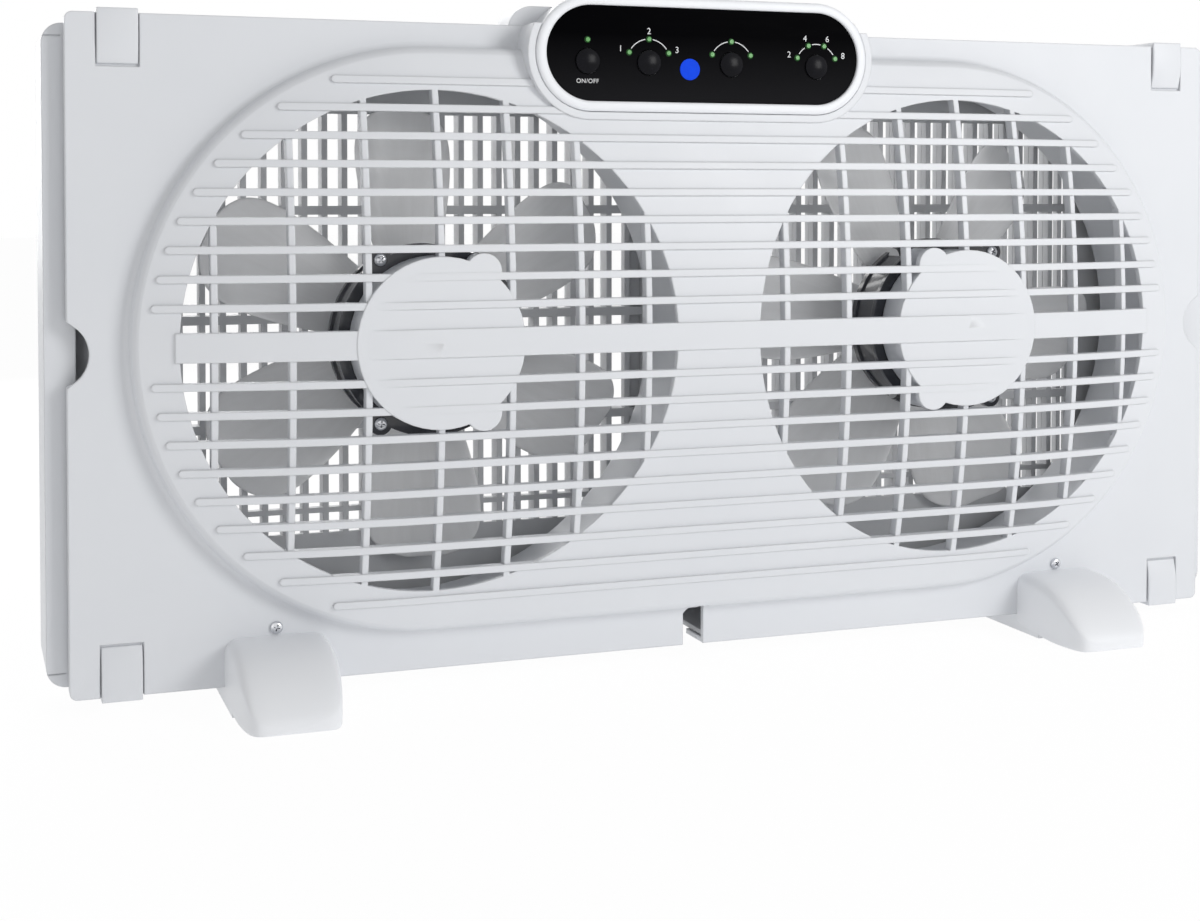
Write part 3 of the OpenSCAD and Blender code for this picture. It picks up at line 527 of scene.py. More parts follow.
def wear_finish(piece, *finishes):
    """Gives a piece these finishes as its material slots, and no others."""
    piece.data.materials.clear()
    for finish in finishes:
        piece.data.materials.append(finish.material)


for finish, names in DRESS.items():
    for name in names:
        wear_finish(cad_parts[name], finish)
print("dressed", sum(len(names) for names in DRESS.values()), "parts")


# %% [markdown]
# ## Modelling by hand, in code
# The pieces below are modelled as with the mouse: add a primitive, go into edit mode,
# select faces, inset, extrude. Selecting is done by a test on each face's place, and
# a finished piece has its place in its mesh, with its object at the origin.

# %% Select and extrude
def deselect():
    bpy.ops.object.select_all(action="DESELECT")


def choose(test, kind="FACE"):
    """In edit mode, selects what passes a test on its middle and normal. For an edge,
    the test gets its middle and its direction."""
    bpy.ops.mesh.select_mode(type=kind)
    bpy.ops.mesh.select_all(action="DESELECT")
    shape = bmesh.from_edit_mesh(bpy.context.object.data)
    if kind == "FACE":
        for face in shape.faces:
            face.select_set(test(face.calc_center_median(), face.normal))
    elif kind == "EDGE":
        for edge in shape.edges:
            first, second = edge.verts[0].co, edge.verts[1].co
            edge.select_set(test((first + second) / 2, (second - first).normalized()))
    else:
        for vertex in shape.verts:
            vertex.select_set(test(vertex.co, vertex.normal))
    if kind == "EDGE":
        shape.select_flush_mode()
    else:
        shape.select_flush(True)
    bmesh.update_edit_mesh(bpy.context.object.data)


def front_tip(reach):
    """A test for the face that looks forward within reach of the Y axis."""
    return lambda centre, normal: normal.y < -0.95 and math.hypot(centre.x, centre.z) < reach


def push(x=0.0, y=0.0, z=0.0):
    """Extrudes what is selected."""
    bpy.ops.mesh.extrude_region_move(TRANSFORM_OT_translate={"value": (x, y, z)})


def face_outwards():
    """In edit mode, turns every face outwards."""
    bpy.ops.mesh.select_all(action="SELECT")
    bpy.ops.mesh.normals_make_consistent(inside=False)


print("faces, edges and corners can be chosen by a test")

# %% Smooth, copy, join and finish
def apply_place():
    """Puts the place, turn and size of the active object in its mesh."""
    bpy.ops.object.transform_apply(location=True, rotation=True, scale=True)


def subdivide(piece):
    """Smooths the active object by subdivision."""
    smooth = piece.modifiers.new("smooth", "SUBSURF")
    smooth.levels = smooth.render_levels = 2
    bpy.ops.object.modifier_apply(modifier=smooth.name)


def copied(piece, matrix):
    """A copy of a piece, moved within its own mesh."""
    twin = piece.copy()
    twin.data = piece.data.copy()
    twin.data.transform(matrix)
    bpy.context.scene.collection.objects.link(twin)
    return twin


def joined(pieces):
    """Joins pieces into the last of them."""
    deselect()
    for piece in pieces:
        piece.select_set(True)
    bpy.context.view_layer.objects.active = pieces[-1]
    bpy.ops.object.join()
    return pieces[-1]


def finished(piece, name, body, slot, *finishes):
    """Puts the place of a piece in its mesh, smooths it and lets it ride on a body."""
    deselect()
    piece.select_set(True)
    bpy.context.view_layer.objects.active = piece
    apply_place()
    bpy.ops.object.shade_smooth_by_angle(angle=math.radians(35))
    piece.name = name
    wear_finish(piece, *finishes)
    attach(piece, body)
    return piece


print("pieces can be copied, joined and finished")

# %% [markdown]
# ## Indicator lights
# Each light is a small green lens with a rim that lies on the label: a domed tip, deep
# green, whose middle, where it faces the viewer, is made paler as a painted highlight. One
# is modelled, with its light guide behind it, then copied to eleven places.

# %% Lens finishes
def lens_finish(name, inner, outer, glow):
    finish = Finish(name, IOR=1.5, Specular_IOR_Level=0.25, Emission_Strength=glow)
    cloud = finish.noise(0.0006, detail=2)
    tone = finish.mix(cloud, inner, outer)
    finish.set("Base Color", tone)
    finish.set("Emission Color", tone)
    finish.set("Roughness", 0.15 + cloud * 0.1)
    finish.set("Normal", finish.bump(cloud, 0.00002))
    return finish


lens_green = lens_finish("lens_green", (0.008, 0.06, 0.009, 1), (0.015, 0.09, 0.015, 1), 0.02)
# Painted highlight: a paler green for the middle of each lens.
lens_painted_highlight = lens_finish("lens_painted_highlight", (0.09, 0.30, 0.08, 1), (0.16, 0.42, 0.14, 1), 0.02)
print("two finishes for the lenses")

# %% Model one light
LENS_R = 1.6 * MM
RIM_T = 0.2 * MM
RIM_W = 0.3 * MM
GUIDE_LENGTH = 6 * MM
PAINTED_HIGHLIGHT_R = 0.5 * MM
# How far each ring of the lens is inset and how far it rises, in millimetres.
LENS_RINGS = ((0.2, 0.2), (0.35, -0.1), (0.3, 0.25), (0.3, 0.12))


def lens_model():
    """A lens whose tip points to -Y, with its light guide behind it."""
    deselect()
    bpy.ops.mesh.primitive_cylinder_add(
        vertices=32, radius=LENS_R, depth=RIM_T, location=(0, 0, 0),
        rotation=(math.pi / 2, 0, 0),
    )
    apply_place()
    bpy.ops.object.mode_set(mode="EDIT")
    choose(lambda centre, normal: normal.y > 0.9)
    bpy.ops.mesh.inset(thickness=RIM_W, depth=0)
    push(y=GUIDE_LENGTH)
    for inset, rise in LENS_RINGS:
        choose(lambda centre, normal: normal.y < -0.9 and centre.y < 0.01 * MM)
        bpy.ops.mesh.inset(thickness=inset * MM, depth=0)
        choose(front_tip(0.05 * MM))
        bpy.ops.transform.translate(value=(0, -rise * MM, 0))
    bpy.ops.object.mode_set(mode="OBJECT")
    return bpy.context.object


lens = lens_model()
# The faces in the middle of the tip get the painted highlight.
painted_highlight_faces = [
    face.index for face in lens.data.polygons
    if math.hypot(face.center.x, face.center.z) < PAINTED_HIGHLIGHT_R and face.center.y < 0
]
print("a lens of", len(lens.data.polygons), "faces,", len(painted_highlight_faces), "of them light")

# %% Put the lights on the label
LABEL_FACE = LABEL_LOW.y
LIGHT_ARC = 11.4 * MM
POWER_LIGHT_ABOVE = 10.4 * MM
# For each button: the angles of its lights, and how far they are from its middle.
LIGHTS = (
    ("power", (90,), POWER_LIGHT_ABOVE),
    ("speed", (25, 90, 155), LIGHT_ARC),
    ("function", (25, 90, 155), LIGHT_ARC),
    ("timer", (22.5, 67.5, 112.5, 157.5), LIGHT_ARC),
)
for button, angles, arc in LIGHTS:
    centre = middle(button + "_button")
    for number, angle in enumerate(angles):
        x = centre.x + arc * math.cos(math.radians(angle))
        z = centre.z + arc * math.sin(math.radians(angle))
        light = finished(
            copied(lens, Matrix.Translation((x, LABEL_FACE, z))),
            f"{button}_light_{number + 1}", "housing", "light_green", lens_green, lens_painted_highlight,
        )
        for index in painted_highlight_faces:
            light.data.polygons[index].material_index = 1
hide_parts("indicator_lights")
bpy.data.objects.remove(lens)

# %% [markdown]
# ## Cross-head screws
# The feet, the motors and the two mouldings are held by screws with a cross in their
# heads. A head is a low dome over a thin flange, and the cross is cut with a Boolean by
# two crossed wedges, which is how a maker would press it.

# %% Model a screw
HEAD_R = 3.0 * MM
HEAD_H = 1.9 * MM
SHANK_R = 1.4 * MM
SHANK = 8 * MM
SHANK_TIP = 0.3
# The flange's share of the head's height. Then, for each ring of the dome, how far it
# is inset, as a share of the radius, and how far it rises, as a share of the height.
FLANGE = 0.35
DOME_RINGS = ((0.06, 0.26), (0.12, 0.2), (0.16, 0.13), (0.2, 0.06))
# The wedge that cuts one slot of the cross, and how much of its width its end keeps.
WEDGE = (HEAD_R * 1.25, HEAD_H * 1.1, HEAD_R * 0.24)
WEDGE_DEPTH = HEAD_H * 0.75
WEDGE_END = 0.45


def screw_blank():
    """A screw without its cross. Its head points to -Y and its seat is at the origin."""
    deselect()
    bpy.ops.mesh.primitive_cylinder_add(
        vertices=48, radius=HEAD_R, depth=HEAD_H * FLANGE,
        location=(0, -HEAD_H * FLANGE / 2, 0), rotation=(math.pi / 2, 0, 0),
    )
    apply_place()
    bpy.ops.object.mode_set(mode="EDIT")
    for inset, rise in DOME_RINGS:
        choose(front_tip(HEAD_R * 0.1))
        bpy.ops.mesh.inset(thickness=HEAD_R * inset, depth=0)
        bpy.ops.transform.translate(value=(0, -HEAD_H * rise, 0))
    choose(lambda centre, normal: normal.y > 0.95)
    bpy.ops.mesh.inset(thickness=HEAD_R - SHANK_R, depth=0)
    push(y=SHANK - SHANK_R)
    push(y=SHANK_R)
    bpy.ops.transform.resize(value=(SHANK_TIP, 1, SHANK_TIP), center_override=(0, SHANK, 0))
    bpy.ops.object.mode_set(mode="OBJECT")
    return bpy.context.object


def cut_slot(screw, turn):
    """Cuts one slot of the cross with a wedge that narrows towards the seat."""
    deselect()
    bpy.ops.mesh.primitive_cube_add(size=1, location=(0, -WEDGE_DEPTH, 0))
    wedge = bpy.context.object
    wedge.scale = WEDGE
    wedge.rotation_euler = (0, turn, 0)
    apply_place()
    bpy.ops.object.mode_set(mode="EDIT")
    choose(lambda centre, normal: normal.y > 0.9)
    bpy.ops.transform.resize(value=(WEDGE_END, 1, WEDGE_END), center_override=(0, 0, 0))
    bpy.ops.object.mode_set(mode="OBJECT")
    cut = screw.modifiers.new("cross", "BOOLEAN")
    cut.operation = "DIFFERENCE"
    cut.object = wedge
    bpy.context.view_layer.objects.active = screw
    bpy.ops.object.modifier_apply(modifier=cut.name)
    bpy.data.objects.remove(wedge)


screw_model = screw_blank()
cut_slot(screw_model, turn=0)
cut_slot(screw_model, turn=math.pi / 2)
print("one screw of", len(screw_model.data.polygons), "faces")

# %% [markdown]
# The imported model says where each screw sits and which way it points. Screws that are
# alike share one part there, so its corners are sorted into one box for each screw,
# by where on the fan they lie. A head is at the end that shows: in front on the feet
# and the outer lugs, behind on the inner lugs and the rear moulding.

# %% Sort a part's corners into boxes
def sorted_boxes(node, group):
    """The lowest and highest corner of each group of a part's corners."""
    boxes = {}
    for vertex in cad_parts[node].data.vertices:
        place = vertex.co
        low, high = boxes.setdefault(group(place), (place.copy(), place.copy()))
        for axis in range(3):
            low[axis] = min(low[axis], place[axis])
            high[axis] = max(high[axis], place[axis])
    return sorted(boxes.items())


def on_right(place):
    return (place.x > 0,)


def round_motor(place):
    return (place.x > 0, abs(place.x) > RIGHT_AXIS.x, place.z > RIGHT_AXIS.z)


def in_corner(place):
    return (place.x > 0, place.z > RIGHT_AXIS.z)


# For each kind: how its corners are sorted, and whether a head looks to the front.
SCREWS = (
    ("foot", on_right, lambda key: True),
    ("motor", round_motor, lambda key: key[1]),
    ("housing", in_corner, lambda key: False),
)
print(len(SCREWS), "kinds of screw")

# %% Put a screw at every place
FIRST_CROSS = 0.3
NEXT_CROSS = 0.7


def fitted_screw(low, high, front, cross):
    """A screw as wide and as long as a box, with its cross turned by an angle."""
    scale = (high.x - low.x) / (2 * HEAD_R)
    head = HEAD_H * scale
    seat = low.y + head if front else high.y - head
    place = Matrix.Translation(((low.x + high.x) / 2, seat, (low.z + high.z) / 2))
    turn = Matrix.Rotation(0 if front else math.pi, 4, "Z")
    spin = Matrix.Rotation(cross, 4, "Y")
    screw = copied(screw_model, place @ turn @ spin @ Matrix.Diagonal((scale, scale, scale, 1)))
    longer = (high.y - low.y - head) / SHANK
    for vertex in screw.data.vertices:
        behind = (vertex.co.y - seat) if front else (seat - vertex.co.y)
        if behind > 0:
            vertex.co.y = seat + (behind * longer / scale) * (1 if front else -1)
    return screw


for kind, group, faces_front in SCREWS:
    boxes = sorted_boxes(kind + "_screws", group)
    for number, (key, (low, high)) in enumerate(boxes):
        screw = fitted_screw(low, high, faces_front(key), FIRST_CROSS + number * NEXT_CROSS)
        finished(screw, f"{kind}_screw_{number + 1}", "housing", "steel", zinc)
        if number == 0:
            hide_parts(kind + "_screws")
    print(kind, "screws:", len(boxes))
bpy.data.objects.remove(screw_model)

# %% [markdown]
# ## Fan wheels
# A wheel is one moulding: a cup over the shaft and six broad petals, each hollow
# towards the front, twisted less at the tip than at the root and rounded at its end. A
# petal grows as a strip that is extruded row by row, each row resized and turned back
# a little. It then gets its thickness and is smoothed by subdivision.

# %% Model one petal
PETAL_DEPTH = PANEL_FACE + 34.5 * MM
PETAL_START = 20 * MM
ROOT_HALF = 16 * MM
ROOT_ROW = 2 * MM
# Columns of faces on each side of the petal's middle.
COLUMNS = 3
# With no window, transform.rotate turns the other way, so these angles are negative.
PETAL_PITCH = math.radians(-31)
PETAL_TWIST = math.radians(-0.9)
PETAL_HOLLOW = 2.4 * MM
PETAL_THICK = 1.8 * MM
# Distance from the axis and half the width of each row, in millimetres.
PETAL_ROWS = (
    (30, 19), (42, 22.5), (56, 26.5), (70, 29.5), (83, 31), (94, 30.5),
    (102.5, 27), (108.5, 19.5), (112, 9.5),
)


def petal_root():
    """The first row of a petal that points to +Z: hollow, and turned by the pitch."""
    deselect()
    bpy.ops.mesh.primitive_grid_add(
        x_subdivisions=2 * COLUMNS, y_subdivisions=1, size=2 * ROOT_HALF,
        location=(0, 0, PETAL_START - ROOT_HALF + ROOT_ROW / 2), rotation=(math.pi / 2, 0, 0),
    )
    apply_place()
    bpy.ops.object.mode_set(mode="EDIT")
    choose(lambda place, normal: place.z < 0, "VERT")
    bpy.ops.transform.translate(value=(0, 0, 2 * ROOT_HALF - ROOT_ROW))
    for step in range(1, COLUMNS + 1):
        choose(lambda place, normal: abs(place.x) > (step - 0.5) * ROOT_HALF / COLUMNS, "VERT")
        hollow = (2 * step - 1) / COLUMNS ** 2 * PETAL_HOLLOW
        bpy.ops.transform.translate(value=(0, -hollow, 0))
    bpy.ops.mesh.select_all(action="SELECT")
    bpy.ops.transform.rotate(value=PETAL_PITCH, orient_axis="Z", center_override=(0, 0, 0))
    return bpy.context.object


def petal():
    """A petal that points to +Z, with the axis of the wheel along Y at the origin."""
    strip = petal_root()
    half = ROOT_HALF
    reach = PETAL_START + ROOT_ROW / 2
    for distance, wide in PETAL_ROWS:
        choose(lambda place, normal: place.z > reach - 0.1 * MM, "VERT")
        push(z=distance * MM - reach)
        reach = distance * MM
        grow = wide * MM / half
        half = wide * MM
        bpy.ops.transform.resize(value=(grow, grow, 1), center_override=(0, 0, reach))
        bpy.ops.transform.rotate(
            value=-PETAL_TWIST, orient_axis="Z", center_override=(0, 0, reach)
        )
    face_outwards()
    bpy.ops.object.mode_set(mode="OBJECT")
    wall = strip.modifiers.new("wall", "SOLIDIFY")
    wall.thickness = PETAL_THICK
    wall.offset = 0
    bpy.ops.object.modifier_apply(modifier=wall.name)
    subdivide(strip)
    return strip


petal_model = petal()
corners = [vertex.co for vertex in petal_model.data.vertices]
print("a petal reaches", round(max(corner.z for corner in corners) / MM, 1), "mm")

# %% [markdown]
# The cup is a cylinder whose back face is inset and pushed in, with the boss for the
# shaft pushed back out of its floor.

# %% Model the cup and join the petals
PETALS = 6
CUP_R = 24 * MM
CUP_FRONT = PANEL_FACE + 17 * MM
CUP_BACK = PANEL_FACE + 39 * MM
CUP_EDGE_W = 2 * MM
CUP_EDGE_H = 1 * MM
CUP_WALL = 2.2 * MM
CUP_FLOOR = 3 * MM
BOSS_R = 7 * MM


def cup_model():
    """A cup round the Y axis that is open to the back, with a boss in its middle."""
    deselect()
    body_front = CUP_FRONT + CUP_EDGE_H
    hollow = CUP_BACK - CUP_FRONT - CUP_FLOOR
    bpy.ops.mesh.primitive_cylinder_add(
        vertices=64, radius=CUP_R, depth=CUP_BACK - body_front,
        location=(0, (body_front + CUP_BACK) / 2, 0), rotation=(math.pi / 2, 0, 0),
    )
    apply_place()
    bpy.ops.object.mode_set(mode="EDIT")
    choose(lambda centre, normal: normal.y < -0.9)
    bpy.ops.mesh.inset(thickness=CUP_EDGE_W, depth=0)
    bpy.ops.transform.translate(value=(0, -CUP_EDGE_H, 0))
    choose(lambda centre, normal: normal.y > 0.9)
    bpy.ops.mesh.inset(thickness=CUP_WALL, depth=0)
    push(y=-hollow)
    bpy.ops.mesh.inset(thickness=CUP_R - CUP_WALL - BOSS_R, depth=0)
    push(y=hollow)
    bpy.ops.object.mode_set(mode="OBJECT")
    return bpy.context.object


def wheel(name, axis, first, body, node, finish):
    """A wheel on an axis, whose first petal is turned up from +X by some degrees."""
    cup = cup_model()
    petals = []
    for number in range(PETALS):
        turn = Matrix.Rotation(math.radians(90 - first - number * 360 / PETALS), 4, "Y")
        petals.append(copied(petal_model, Matrix.Translation((0, PETAL_DEPTH, 0)) @ turn))
    piece = joined(petals + [cup])
    piece.data.transform(Matrix.Translation((axis.x, 0, axis.z)))
    finished(piece, name, body, "blade_plastic", finish)
    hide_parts(node)
    print(name, len(piece.data.polygons), "faces")


wheel("left_wheel", LEFT_AXIS, 94, "left_fan", "left_impeller", left_blades)
wheel("right_wheel", RIGHT_AXIS, 55, "right_fan", "right_impeller", right_blades)
bpy.data.objects.remove(petal_model)

# %% [markdown]
# ## Feet
# A foot is one soft moulding: it leaves the panel with nearly upright sides, bulges
# forward and ends in a rounded toe. It is extruded forward in rows from a block with
# bevelled edges, and subdivision turns this cage into one soft surface. The cage
# starts a little inside the panel, so that its rounded back end is hidden.

# %% Model the soft front of a foot
# How far the block reaches back into the panel, in millimetres.
FOOT_INSIDE = 3
# Half the width, and the height of the top and of the underside above the sole, in
# millimetres: first of the block, then of each row, after its distance from the panel.
FOOT_BLOCK = (24, 31.5, 5)
FOOT_ROWS = (
    (1, 24, 31.5, 4), (10, 24, 31.4, 2.6), (20, 23.9, 30.6, 1.2), (30, 23.5, 28.4, 0),
    (39, 22.8, 23.6, 0), (46, 21.8, 18.4, 0), (51, 20.4, 13, 0), (54.5, 18, 8.4, 0.2),
    (56, 13.5, 5, 0.8),
)
FOOT_TOP_R = 6.5 * MM
FOOT_LOW_R = 1.6 * MM
# How much of its width the top keeps from row to row.
FOOT_TAPER = 0.93


def foot_block():
    """The block that a foot grows from, in edit mode."""
    wide, high, low = FOOT_BLOCK
    deselect()
    bpy.ops.mesh.primitive_cube_add(
        size=MM, location=(0, FOOT_INSIDE * MM / 2, (high + low) / 2 * MM)
    )
    cage = bpy.context.object
    cage.scale = (2 * wide, FOOT_INSIDE, high - low)
    apply_place()
    bpy.ops.object.mode_set(mode="EDIT")
    choose(lambda place, way: abs(way.y) > 0.9 and place.z > 20 * MM, "EDGE")
    bpy.ops.mesh.bevel(offset=FOOT_TOP_R, segments=4)
    choose(lambda place, way: abs(way.y) > 0.9 and place.z < 6 * MM, "EDGE")
    bpy.ops.mesh.bevel(offset=FOOT_LOW_R, segments=2)
    return cage


def foot_front():
    """A foot that stands on its sole at z = 0 in front of the panel's face at y = 0."""
    cage = foot_block()
    reach = 0
    wide, high, low = FOOT_BLOCK
    for ahead, new_wide, new_high, new_low in FOOT_ROWS:
        choose(lambda centre, normal: normal.y < -0.99 and centre.y < (0.05 - reach) * MM)
        push(y=(reach - ahead) * MM)
        bpy.ops.transform.resize(
            value=(new_wide / wide, 1, (new_high - new_low) / (high - low)),
            center_override=(0, -ahead * MM, (high + low) / 2 * MM),
        )
        bpy.ops.transform.translate(value=(0, 0, (new_high + new_low - high - low) / 2 * MM))
        choose(lambda place, normal: place.y < (0.05 - ahead) * MM
               and place.z > (new_high - 0.3) * MM, "VERT")
        bpy.ops.transform.resize(value=(FOOT_TAPER, 1, 1), center_override=(0, 0, 0))
        reach, wide, high, low = ahead, new_wide, new_high, new_low
    face_outwards()
    bpy.ops.object.mode_set(mode="OBJECT")
    subdivide(cage)
    return cage


foot_model = foot_front()
print("the soft front of a foot of", len(foot_model.data.polygons), "faces")

# %% [markdown]
# A flat heel runs back from the foot under the fan, so that the fan can't tip over
# backwards. It is a low block with rounded back corners and a hollow underside.

# %% Add the heel and copy the foot
FOOT_LOW, FOOT_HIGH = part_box("left_foot")
HEEL_HALF = 23.5 * MM
HEEL_FRONT = -20 * MM
HEEL_BACK = FOOT_HIGH.y - PANEL_FACE
HEEL_LOW = 0.2 * MM
HEEL_HIGH = 8.6 * MM
HEEL_R = 6 * MM
HEEL_RIM = 3 * MM
HEEL_HOLLOW = 1.2 * MM


def heel_model():
    """The flat heel of a foot whose sole is at z = 0 and whose panel is at y = 0."""
    deselect()
    bpy.ops.mesh.primitive_cube_add(
        size=1, location=(0, (HEEL_BACK + HEEL_FRONT) / 2, (HEEL_HIGH + HEEL_LOW) / 2)
    )
    heel = bpy.context.object
    heel.scale = (2 * HEEL_HALF, HEEL_BACK - HEEL_FRONT, HEEL_HIGH - HEEL_LOW)
    apply_place()
    bpy.ops.object.mode_set(mode="EDIT")
    choose(lambda place, way: abs(way.z) > 0.9 and place.y > 0, "EDGE")
    bpy.ops.mesh.bevel(offset=HEEL_R, segments=6)
    choose(lambda centre, normal: normal.z < -0.9)
    bpy.ops.mesh.inset(thickness=HEEL_RIM, depth=0)
    push(z=HEEL_HOLLOW)
    bpy.ops.object.mode_set(mode="OBJECT")
    return heel


foot_model = joined([heel_model(), foot_model])
for side in ("left", "right"):
    place = Matrix.Translation((middle(side + "_foot").x, PANEL_FACE, FOOT_LOW.z))
    piece = finished(copied(foot_model, place), side + "_foot_shell",
                     "housing", "shell_plastic", foot_white)
    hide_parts(side + "_foot")
print("a foot of", len(foot_model.data.polygons), "faces")
bpy.data.objects.remove(foot_model)

# %% [markdown]
# ## Corner clips
# Four springy clips bridge the panel's edge near its corners. Each is one strip: it
# lies over the edge, comes down in front, curves back into its recess and rests on the
# floor there with its thinned end. It is extruded row by row from a block that lies on
# the edge, and a Bevel modifier rounds it.

# %% Model one clip and copy it
PANEL_HIGH = PANEL_LOW + 310 * MM
CLIP_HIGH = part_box("top_clips")[1]
CLIP_W = 18.2 * MM
CLIP_X = 283 * MM
CLIP_BACK = CLIP_HIGH.y - PANEL_FACE
CLIP_LIFT = CLIP_HIGH.z - PANEL_HIGH
CLIP_ROUND = 0.5 * MM
# How far below the edge, how far behind the panel's face, and how thick, in millimetres:
# first the lower end of the block, then each row.
CLIP_BLOCK = (0.4, -1.1, 1.9)
CLIP_ROWS = (
    (4, -1.3, 1.9), (9, -1.35, 1.9), (13, -1.15, 1.8), (16.5, -0.7, 1.6),
    (19.5, -0.05, 1.4), (22, 0.6, 1.1), (23, 0.8, 0.9),
)


def clip():
    """A clip over an edge at z = 0, whose leg hangs down in front of y = 0."""
    down, front, thick = CLIP_BLOCK
    deselect()
    bpy.ops.mesh.primitive_cube_add(
        size=1, location=(0, (front + thick / 2) * MM, (CLIP_LIFT - down * MM) / 2)
    )
    strip = bpy.context.object
    strip.scale = (CLIP_W, thick * MM, CLIP_LIFT + down * MM)
    apply_place()
    bpy.ops.object.mode_set(mode="EDIT")
    choose(lambda centre, normal: normal.y > 0.9)
    push(y=CLIP_BACK - (front + thick) * MM)
    for below, new_front, new_thick in CLIP_ROWS:
        choose(lambda centre, normal: normal.z < -0.9 and centre.y < 3 * MM
               and centre.z < (0.05 - down) * MM)
        push(z=(down - below) * MM)
        bpy.ops.transform.resize(
            value=(1, new_thick / thick, 1),
            center_override=(0, (front + thick / 2) * MM, -below * MM),
        )
        shift = new_front + new_thick / 2 - front - thick / 2
        bpy.ops.transform.translate(value=(0, shift * MM, 0))
        down, front, thick = below, new_front, new_thick
    face_outwards()
    bpy.ops.object.mode_set(mode="OBJECT")
    edges = strip.modifiers.new("edges", "BEVEL")
    edges.width = CLIP_ROUND
    edges.segments = 3
    edges.limit_method = "ANGLE"
    edges.angle_limit = math.radians(40)
    bpy.ops.object.modifier_apply(modifier=edges.name)
    return strip


clip_model = clip()
for node, edge, turn in (("top_clips", PANEL_HIGH, 0), ("bottom_clips", PANEL_LOW, math.pi)):
    for side, x in (("left", -CLIP_X), ("right", CLIP_X)):
        place = Matrix.Translation((x, PANEL_FACE, edge)) @ Matrix.Rotation(turn, 4, "Y")
        piece = finished(copied(clip_model, place), side + "_" + node[:-1],
                         "housing", "shell_plastic", housing_white)
        if side == "left":
            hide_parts(node)
print("a clip of", len(clip_model.data.polygons), "faces, lift", round(CLIP_LIFT / MM, 1))
bpy.data.objects.remove(clip_model)

# %% [markdown]
# ## Printed marks
# Thin white arcs join the lights round each button. An arc starts as a circle of
# edges that is extruded into a ring, and the faces between the lights are kept.

# %% Arcs between the lights
PRINT_T = 0.04 * MM
ARC_W = 0.42 * MM
# How far an arc stays from the middle of a light, in degrees.
LIGHT_CLEAR = 11


def arc_marks(name, centre, angles):
    """Ring pieces between neighbouring angles, with gaps at the lights."""
    inner, outer = LIGHT_ARC - ARC_W / 2, LIGHT_ARC + ARC_W / 2
    centre_point = (centre.x, LABEL_FACE, centre.z)
    deselect()
    bpy.ops.mesh.primitive_circle_add(
        vertices=180, radius=inner, fill_type="NOTHING",
        location=centre_point, rotation=(math.pi / 2, 0, 0),
    )
    marks = bpy.context.object
    apply_place()
    bpy.ops.object.mode_set(mode="EDIT")
    bpy.ops.mesh.select_all(action="SELECT")
    bpy.ops.mesh.extrude_edges_move()
    wider = outer / inner
    bpy.ops.transform.resize(value=(wider, 1, wider), center_override=centre_point)

    def outside(point, normal):
        angle = math.degrees(math.atan2(point.z - centre.z, point.x - centre.x))
        spans = zip(angles, angles[1:])
        return not any(a + LIGHT_CLEAR < angle < b - LIGHT_CLEAR for a, b in spans)

    choose(outside)
    bpy.ops.mesh.delete(type="FACE")
    bpy.ops.mesh.select_all(action="SELECT")
    push(y=-PRINT_T)
    face_outwards()
    bpy.ops.object.mode_set(mode="OBJECT")
    return finished(marks, name, "housing", "label_black", ink)


for button, angles, arc in LIGHTS[1:]:
    marks = arc_marks(button + "_arcs", middle(button + "_button"), angles)
    print(marks.name, len(marks.data.polygons), "faces")

# %% [markdown]
# ## Plain numbers
# Beside the lights stand plain numbers and ON/OFF, as on any appliance. They are text
# objects, made a mesh first and then stood up on the label.

# %% Numbers
NUMBER_H = 4.3 * MM
NUMBER_ARC = LIGHT_ARC + 4.9 * MM
# The numbers stand on an ellipse that is a little flatter than the arc of lights.
NUMBER_SQUASH = 0.93
WORDS_H = NUMBER_H * 0.7
WORDS_BELOW = 9.6 * MM
NUMBERS = (
    ("speed", (155, 90, 25), "123"),
    ("timer", (157.5, 112.5, 67.5, 22.5), "2468"),
)


def caption(name, words, x, z, height):
    """A number or a word, printed on the label round a point."""
    deselect()
    bpy.ops.object.text_add(location=(0, 0, 0))
    text = bpy.context.object
    text.data.body = words
    text.data.size = height
    text.data.extrude = PRINT_T / 2
    text.data.space_character = 1.08
    text.data.align_x = "CENTER"
    text.data.align_y = "CENTER"
    bpy.ops.object.convert(target="MESH")
    text = bpy.context.object
    text.rotation_euler = (math.pi / 2, 0, 0)
    text.location = (x, LABEL_FACE - PRINT_T / 2, z)
    return finished(text, name, "housing", "label_black", ink)


for button, angles, words in NUMBERS:
    centre = middle(button + "_button")
    for angle, word in zip(angles, words):
        x = centre.x + NUMBER_ARC * math.cos(math.radians(angle))
        z = centre.z + NUMBER_ARC * math.sin(math.radians(angle)) * NUMBER_SQUASH
        caption(f"{button}_number_{word}", word, x, z, NUMBER_H)
power = middle("power_button")
caption("power_words", "ON/OFF", power.x, power.z - WORDS_BELOW, WORDS_H)
print("numbers and ON/OFF")

# %% [markdown]
# ## Floor and light
# The fan stands on a white ground that shows only its soft shadow. What the camera
# sees of the floor is mostly plain white and only partly lit, which keeps the shadow
# faint. The light is a soft box at the right, in front, a weak one at the left, and a
# large one behind and above, which brightens the top edges and the rear moulding.

# %% Floor
FLOOR_PLAIN = 0.94


def seen_rays(graph):
    """1 where the camera looks, straight on, through glass or in a reflection."""
    camera_ray = graph.node("LightPath", output="Is Camera Ray")
    glossy_ray = graph.node("LightPath", output="Is Glossy Ray")
    passing_ray = graph.node("LightPath", output="Is Transmission Ray")
    return (camera_ray + glossy_ray + passing_ray).clamped()


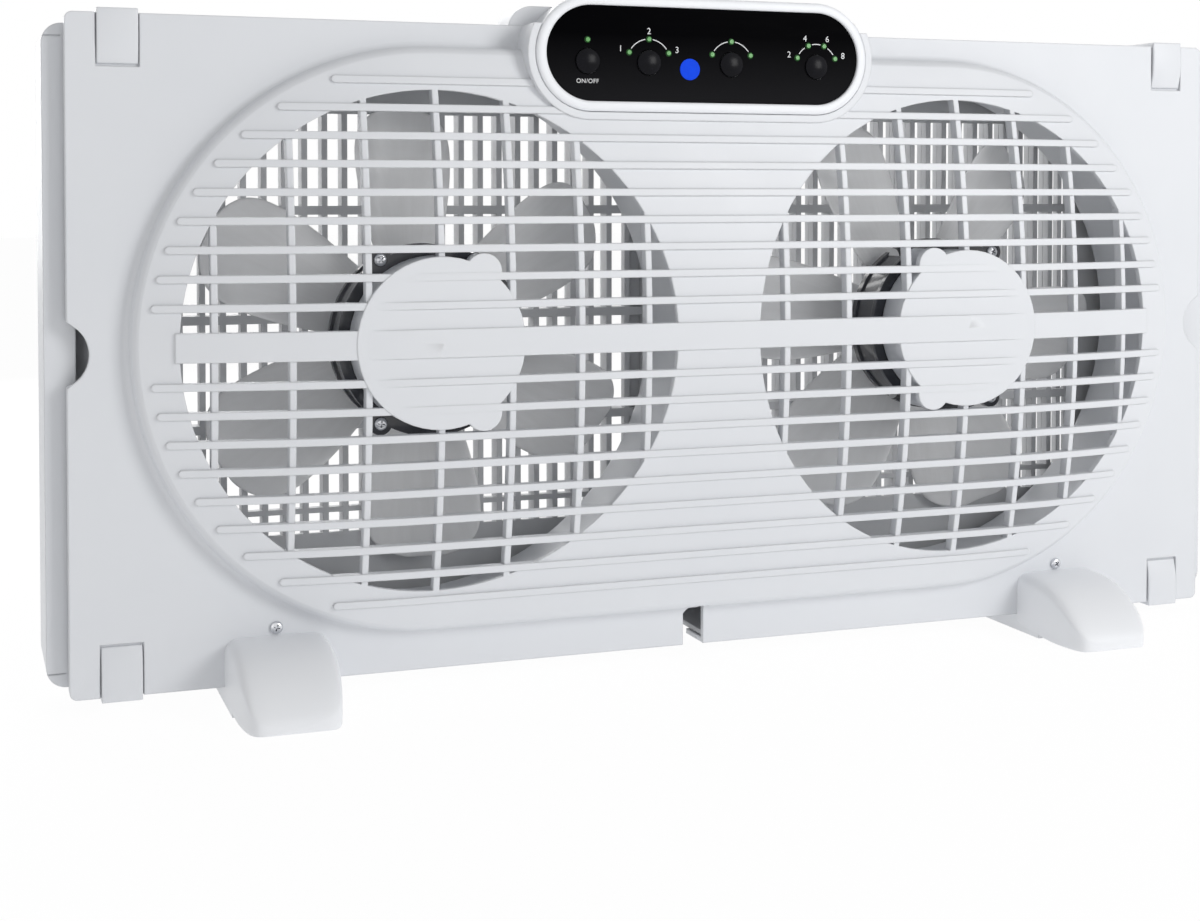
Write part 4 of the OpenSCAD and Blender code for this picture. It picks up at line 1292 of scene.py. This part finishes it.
def white_floor():
    finish = Finish(
        "studio_floor", Roughness=0.9, Emission_Color=(1, 1, 1, 1), Emission_Strength=0.25
    )
    fibre = finish.node("TexNoise", None, {"Vector": finish.place, "Scale": 900.0, "Detail": 2})
    tone = finish.mix(fibre, (0.93, 0.93, 0.93, 1), (0.96, 0.96, 0.96, 1))
    finish.set("Base Color", tone)
    lit = Value(finish, finish.shader.outputs["BSDF"])
    plain = finish.node("Emission", None, {"Color": (1, 1, 1, 1), "Strength": 1.0})
    share = seen_rays(finish) * FLOOR_PLAIN
    both = finish.node("MixShader", None, {0: share, 1: lit, 2: plain})
    finish.put(finish.tree.nodes["Material Output"].inputs["Surface"], both)
    return finish


deselect()
bpy.ops.mesh.primitive_plane_add(size=14, location=(0, 2, 0))
floor = bpy.context.object
floor.name = "floor"
wear_finish(floor, white_floor())
floor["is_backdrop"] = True
print("floor")

# %% World
AMBIENT = 0.43
world = bpy.data.worlds.new("studio")
bpy.context.scene.world = world
sky = Graph(world)
background = sky.tree.nodes["Background"]
sky.put(background.inputs["Color"], (1, 1, 1, 1))
sky.put(background.inputs["Strength"], AMBIENT + seen_rays(sky) * (1 - AMBIENT))
print("world of strength", AMBIENT)

# %% Lamps
# For each lamp: its place, what it looks at, its size in metres and its power in watts.
LAMPS = {
    "right_box": ((0.75, -1.2, 0.62), (0.08, 0, 0.16), 0.6, 8.6),
    "left_box": ((-1.3, -1.0, 0.35), (-0.25, 0, 0.12), 0.9, 0.9),
    "back_box": ((-0.2, 1.3, 0.7), (0, 0, 0.14), 1.2, 12.0),
}
for name, (place, aim, size, power) in LAMPS.items():
    deselect()
    bpy.ops.object.light_add(type="AREA", location=place)
    lamp = bpy.context.object
    lamp.name = name
    lamp.data.shape = "SQUARE"
    lamp.data.size = size
    lamp.data.energy = power
    lamp.rotation_euler = (Vector(place) - Vector(aim)).to_track_quat("Z", "Y").to_euler()
print(len(LAMPS), "soft boxes")

# %% Sizes
dressed_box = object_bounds()
boxes = {"cad": [list(corner) for corner in cad_box],
         "dressed": [list(corner) for corner in dressed_box]}
print("dressed size", [round((high - low) / MM) for low, high in zip(*dressed_box)], "mm")
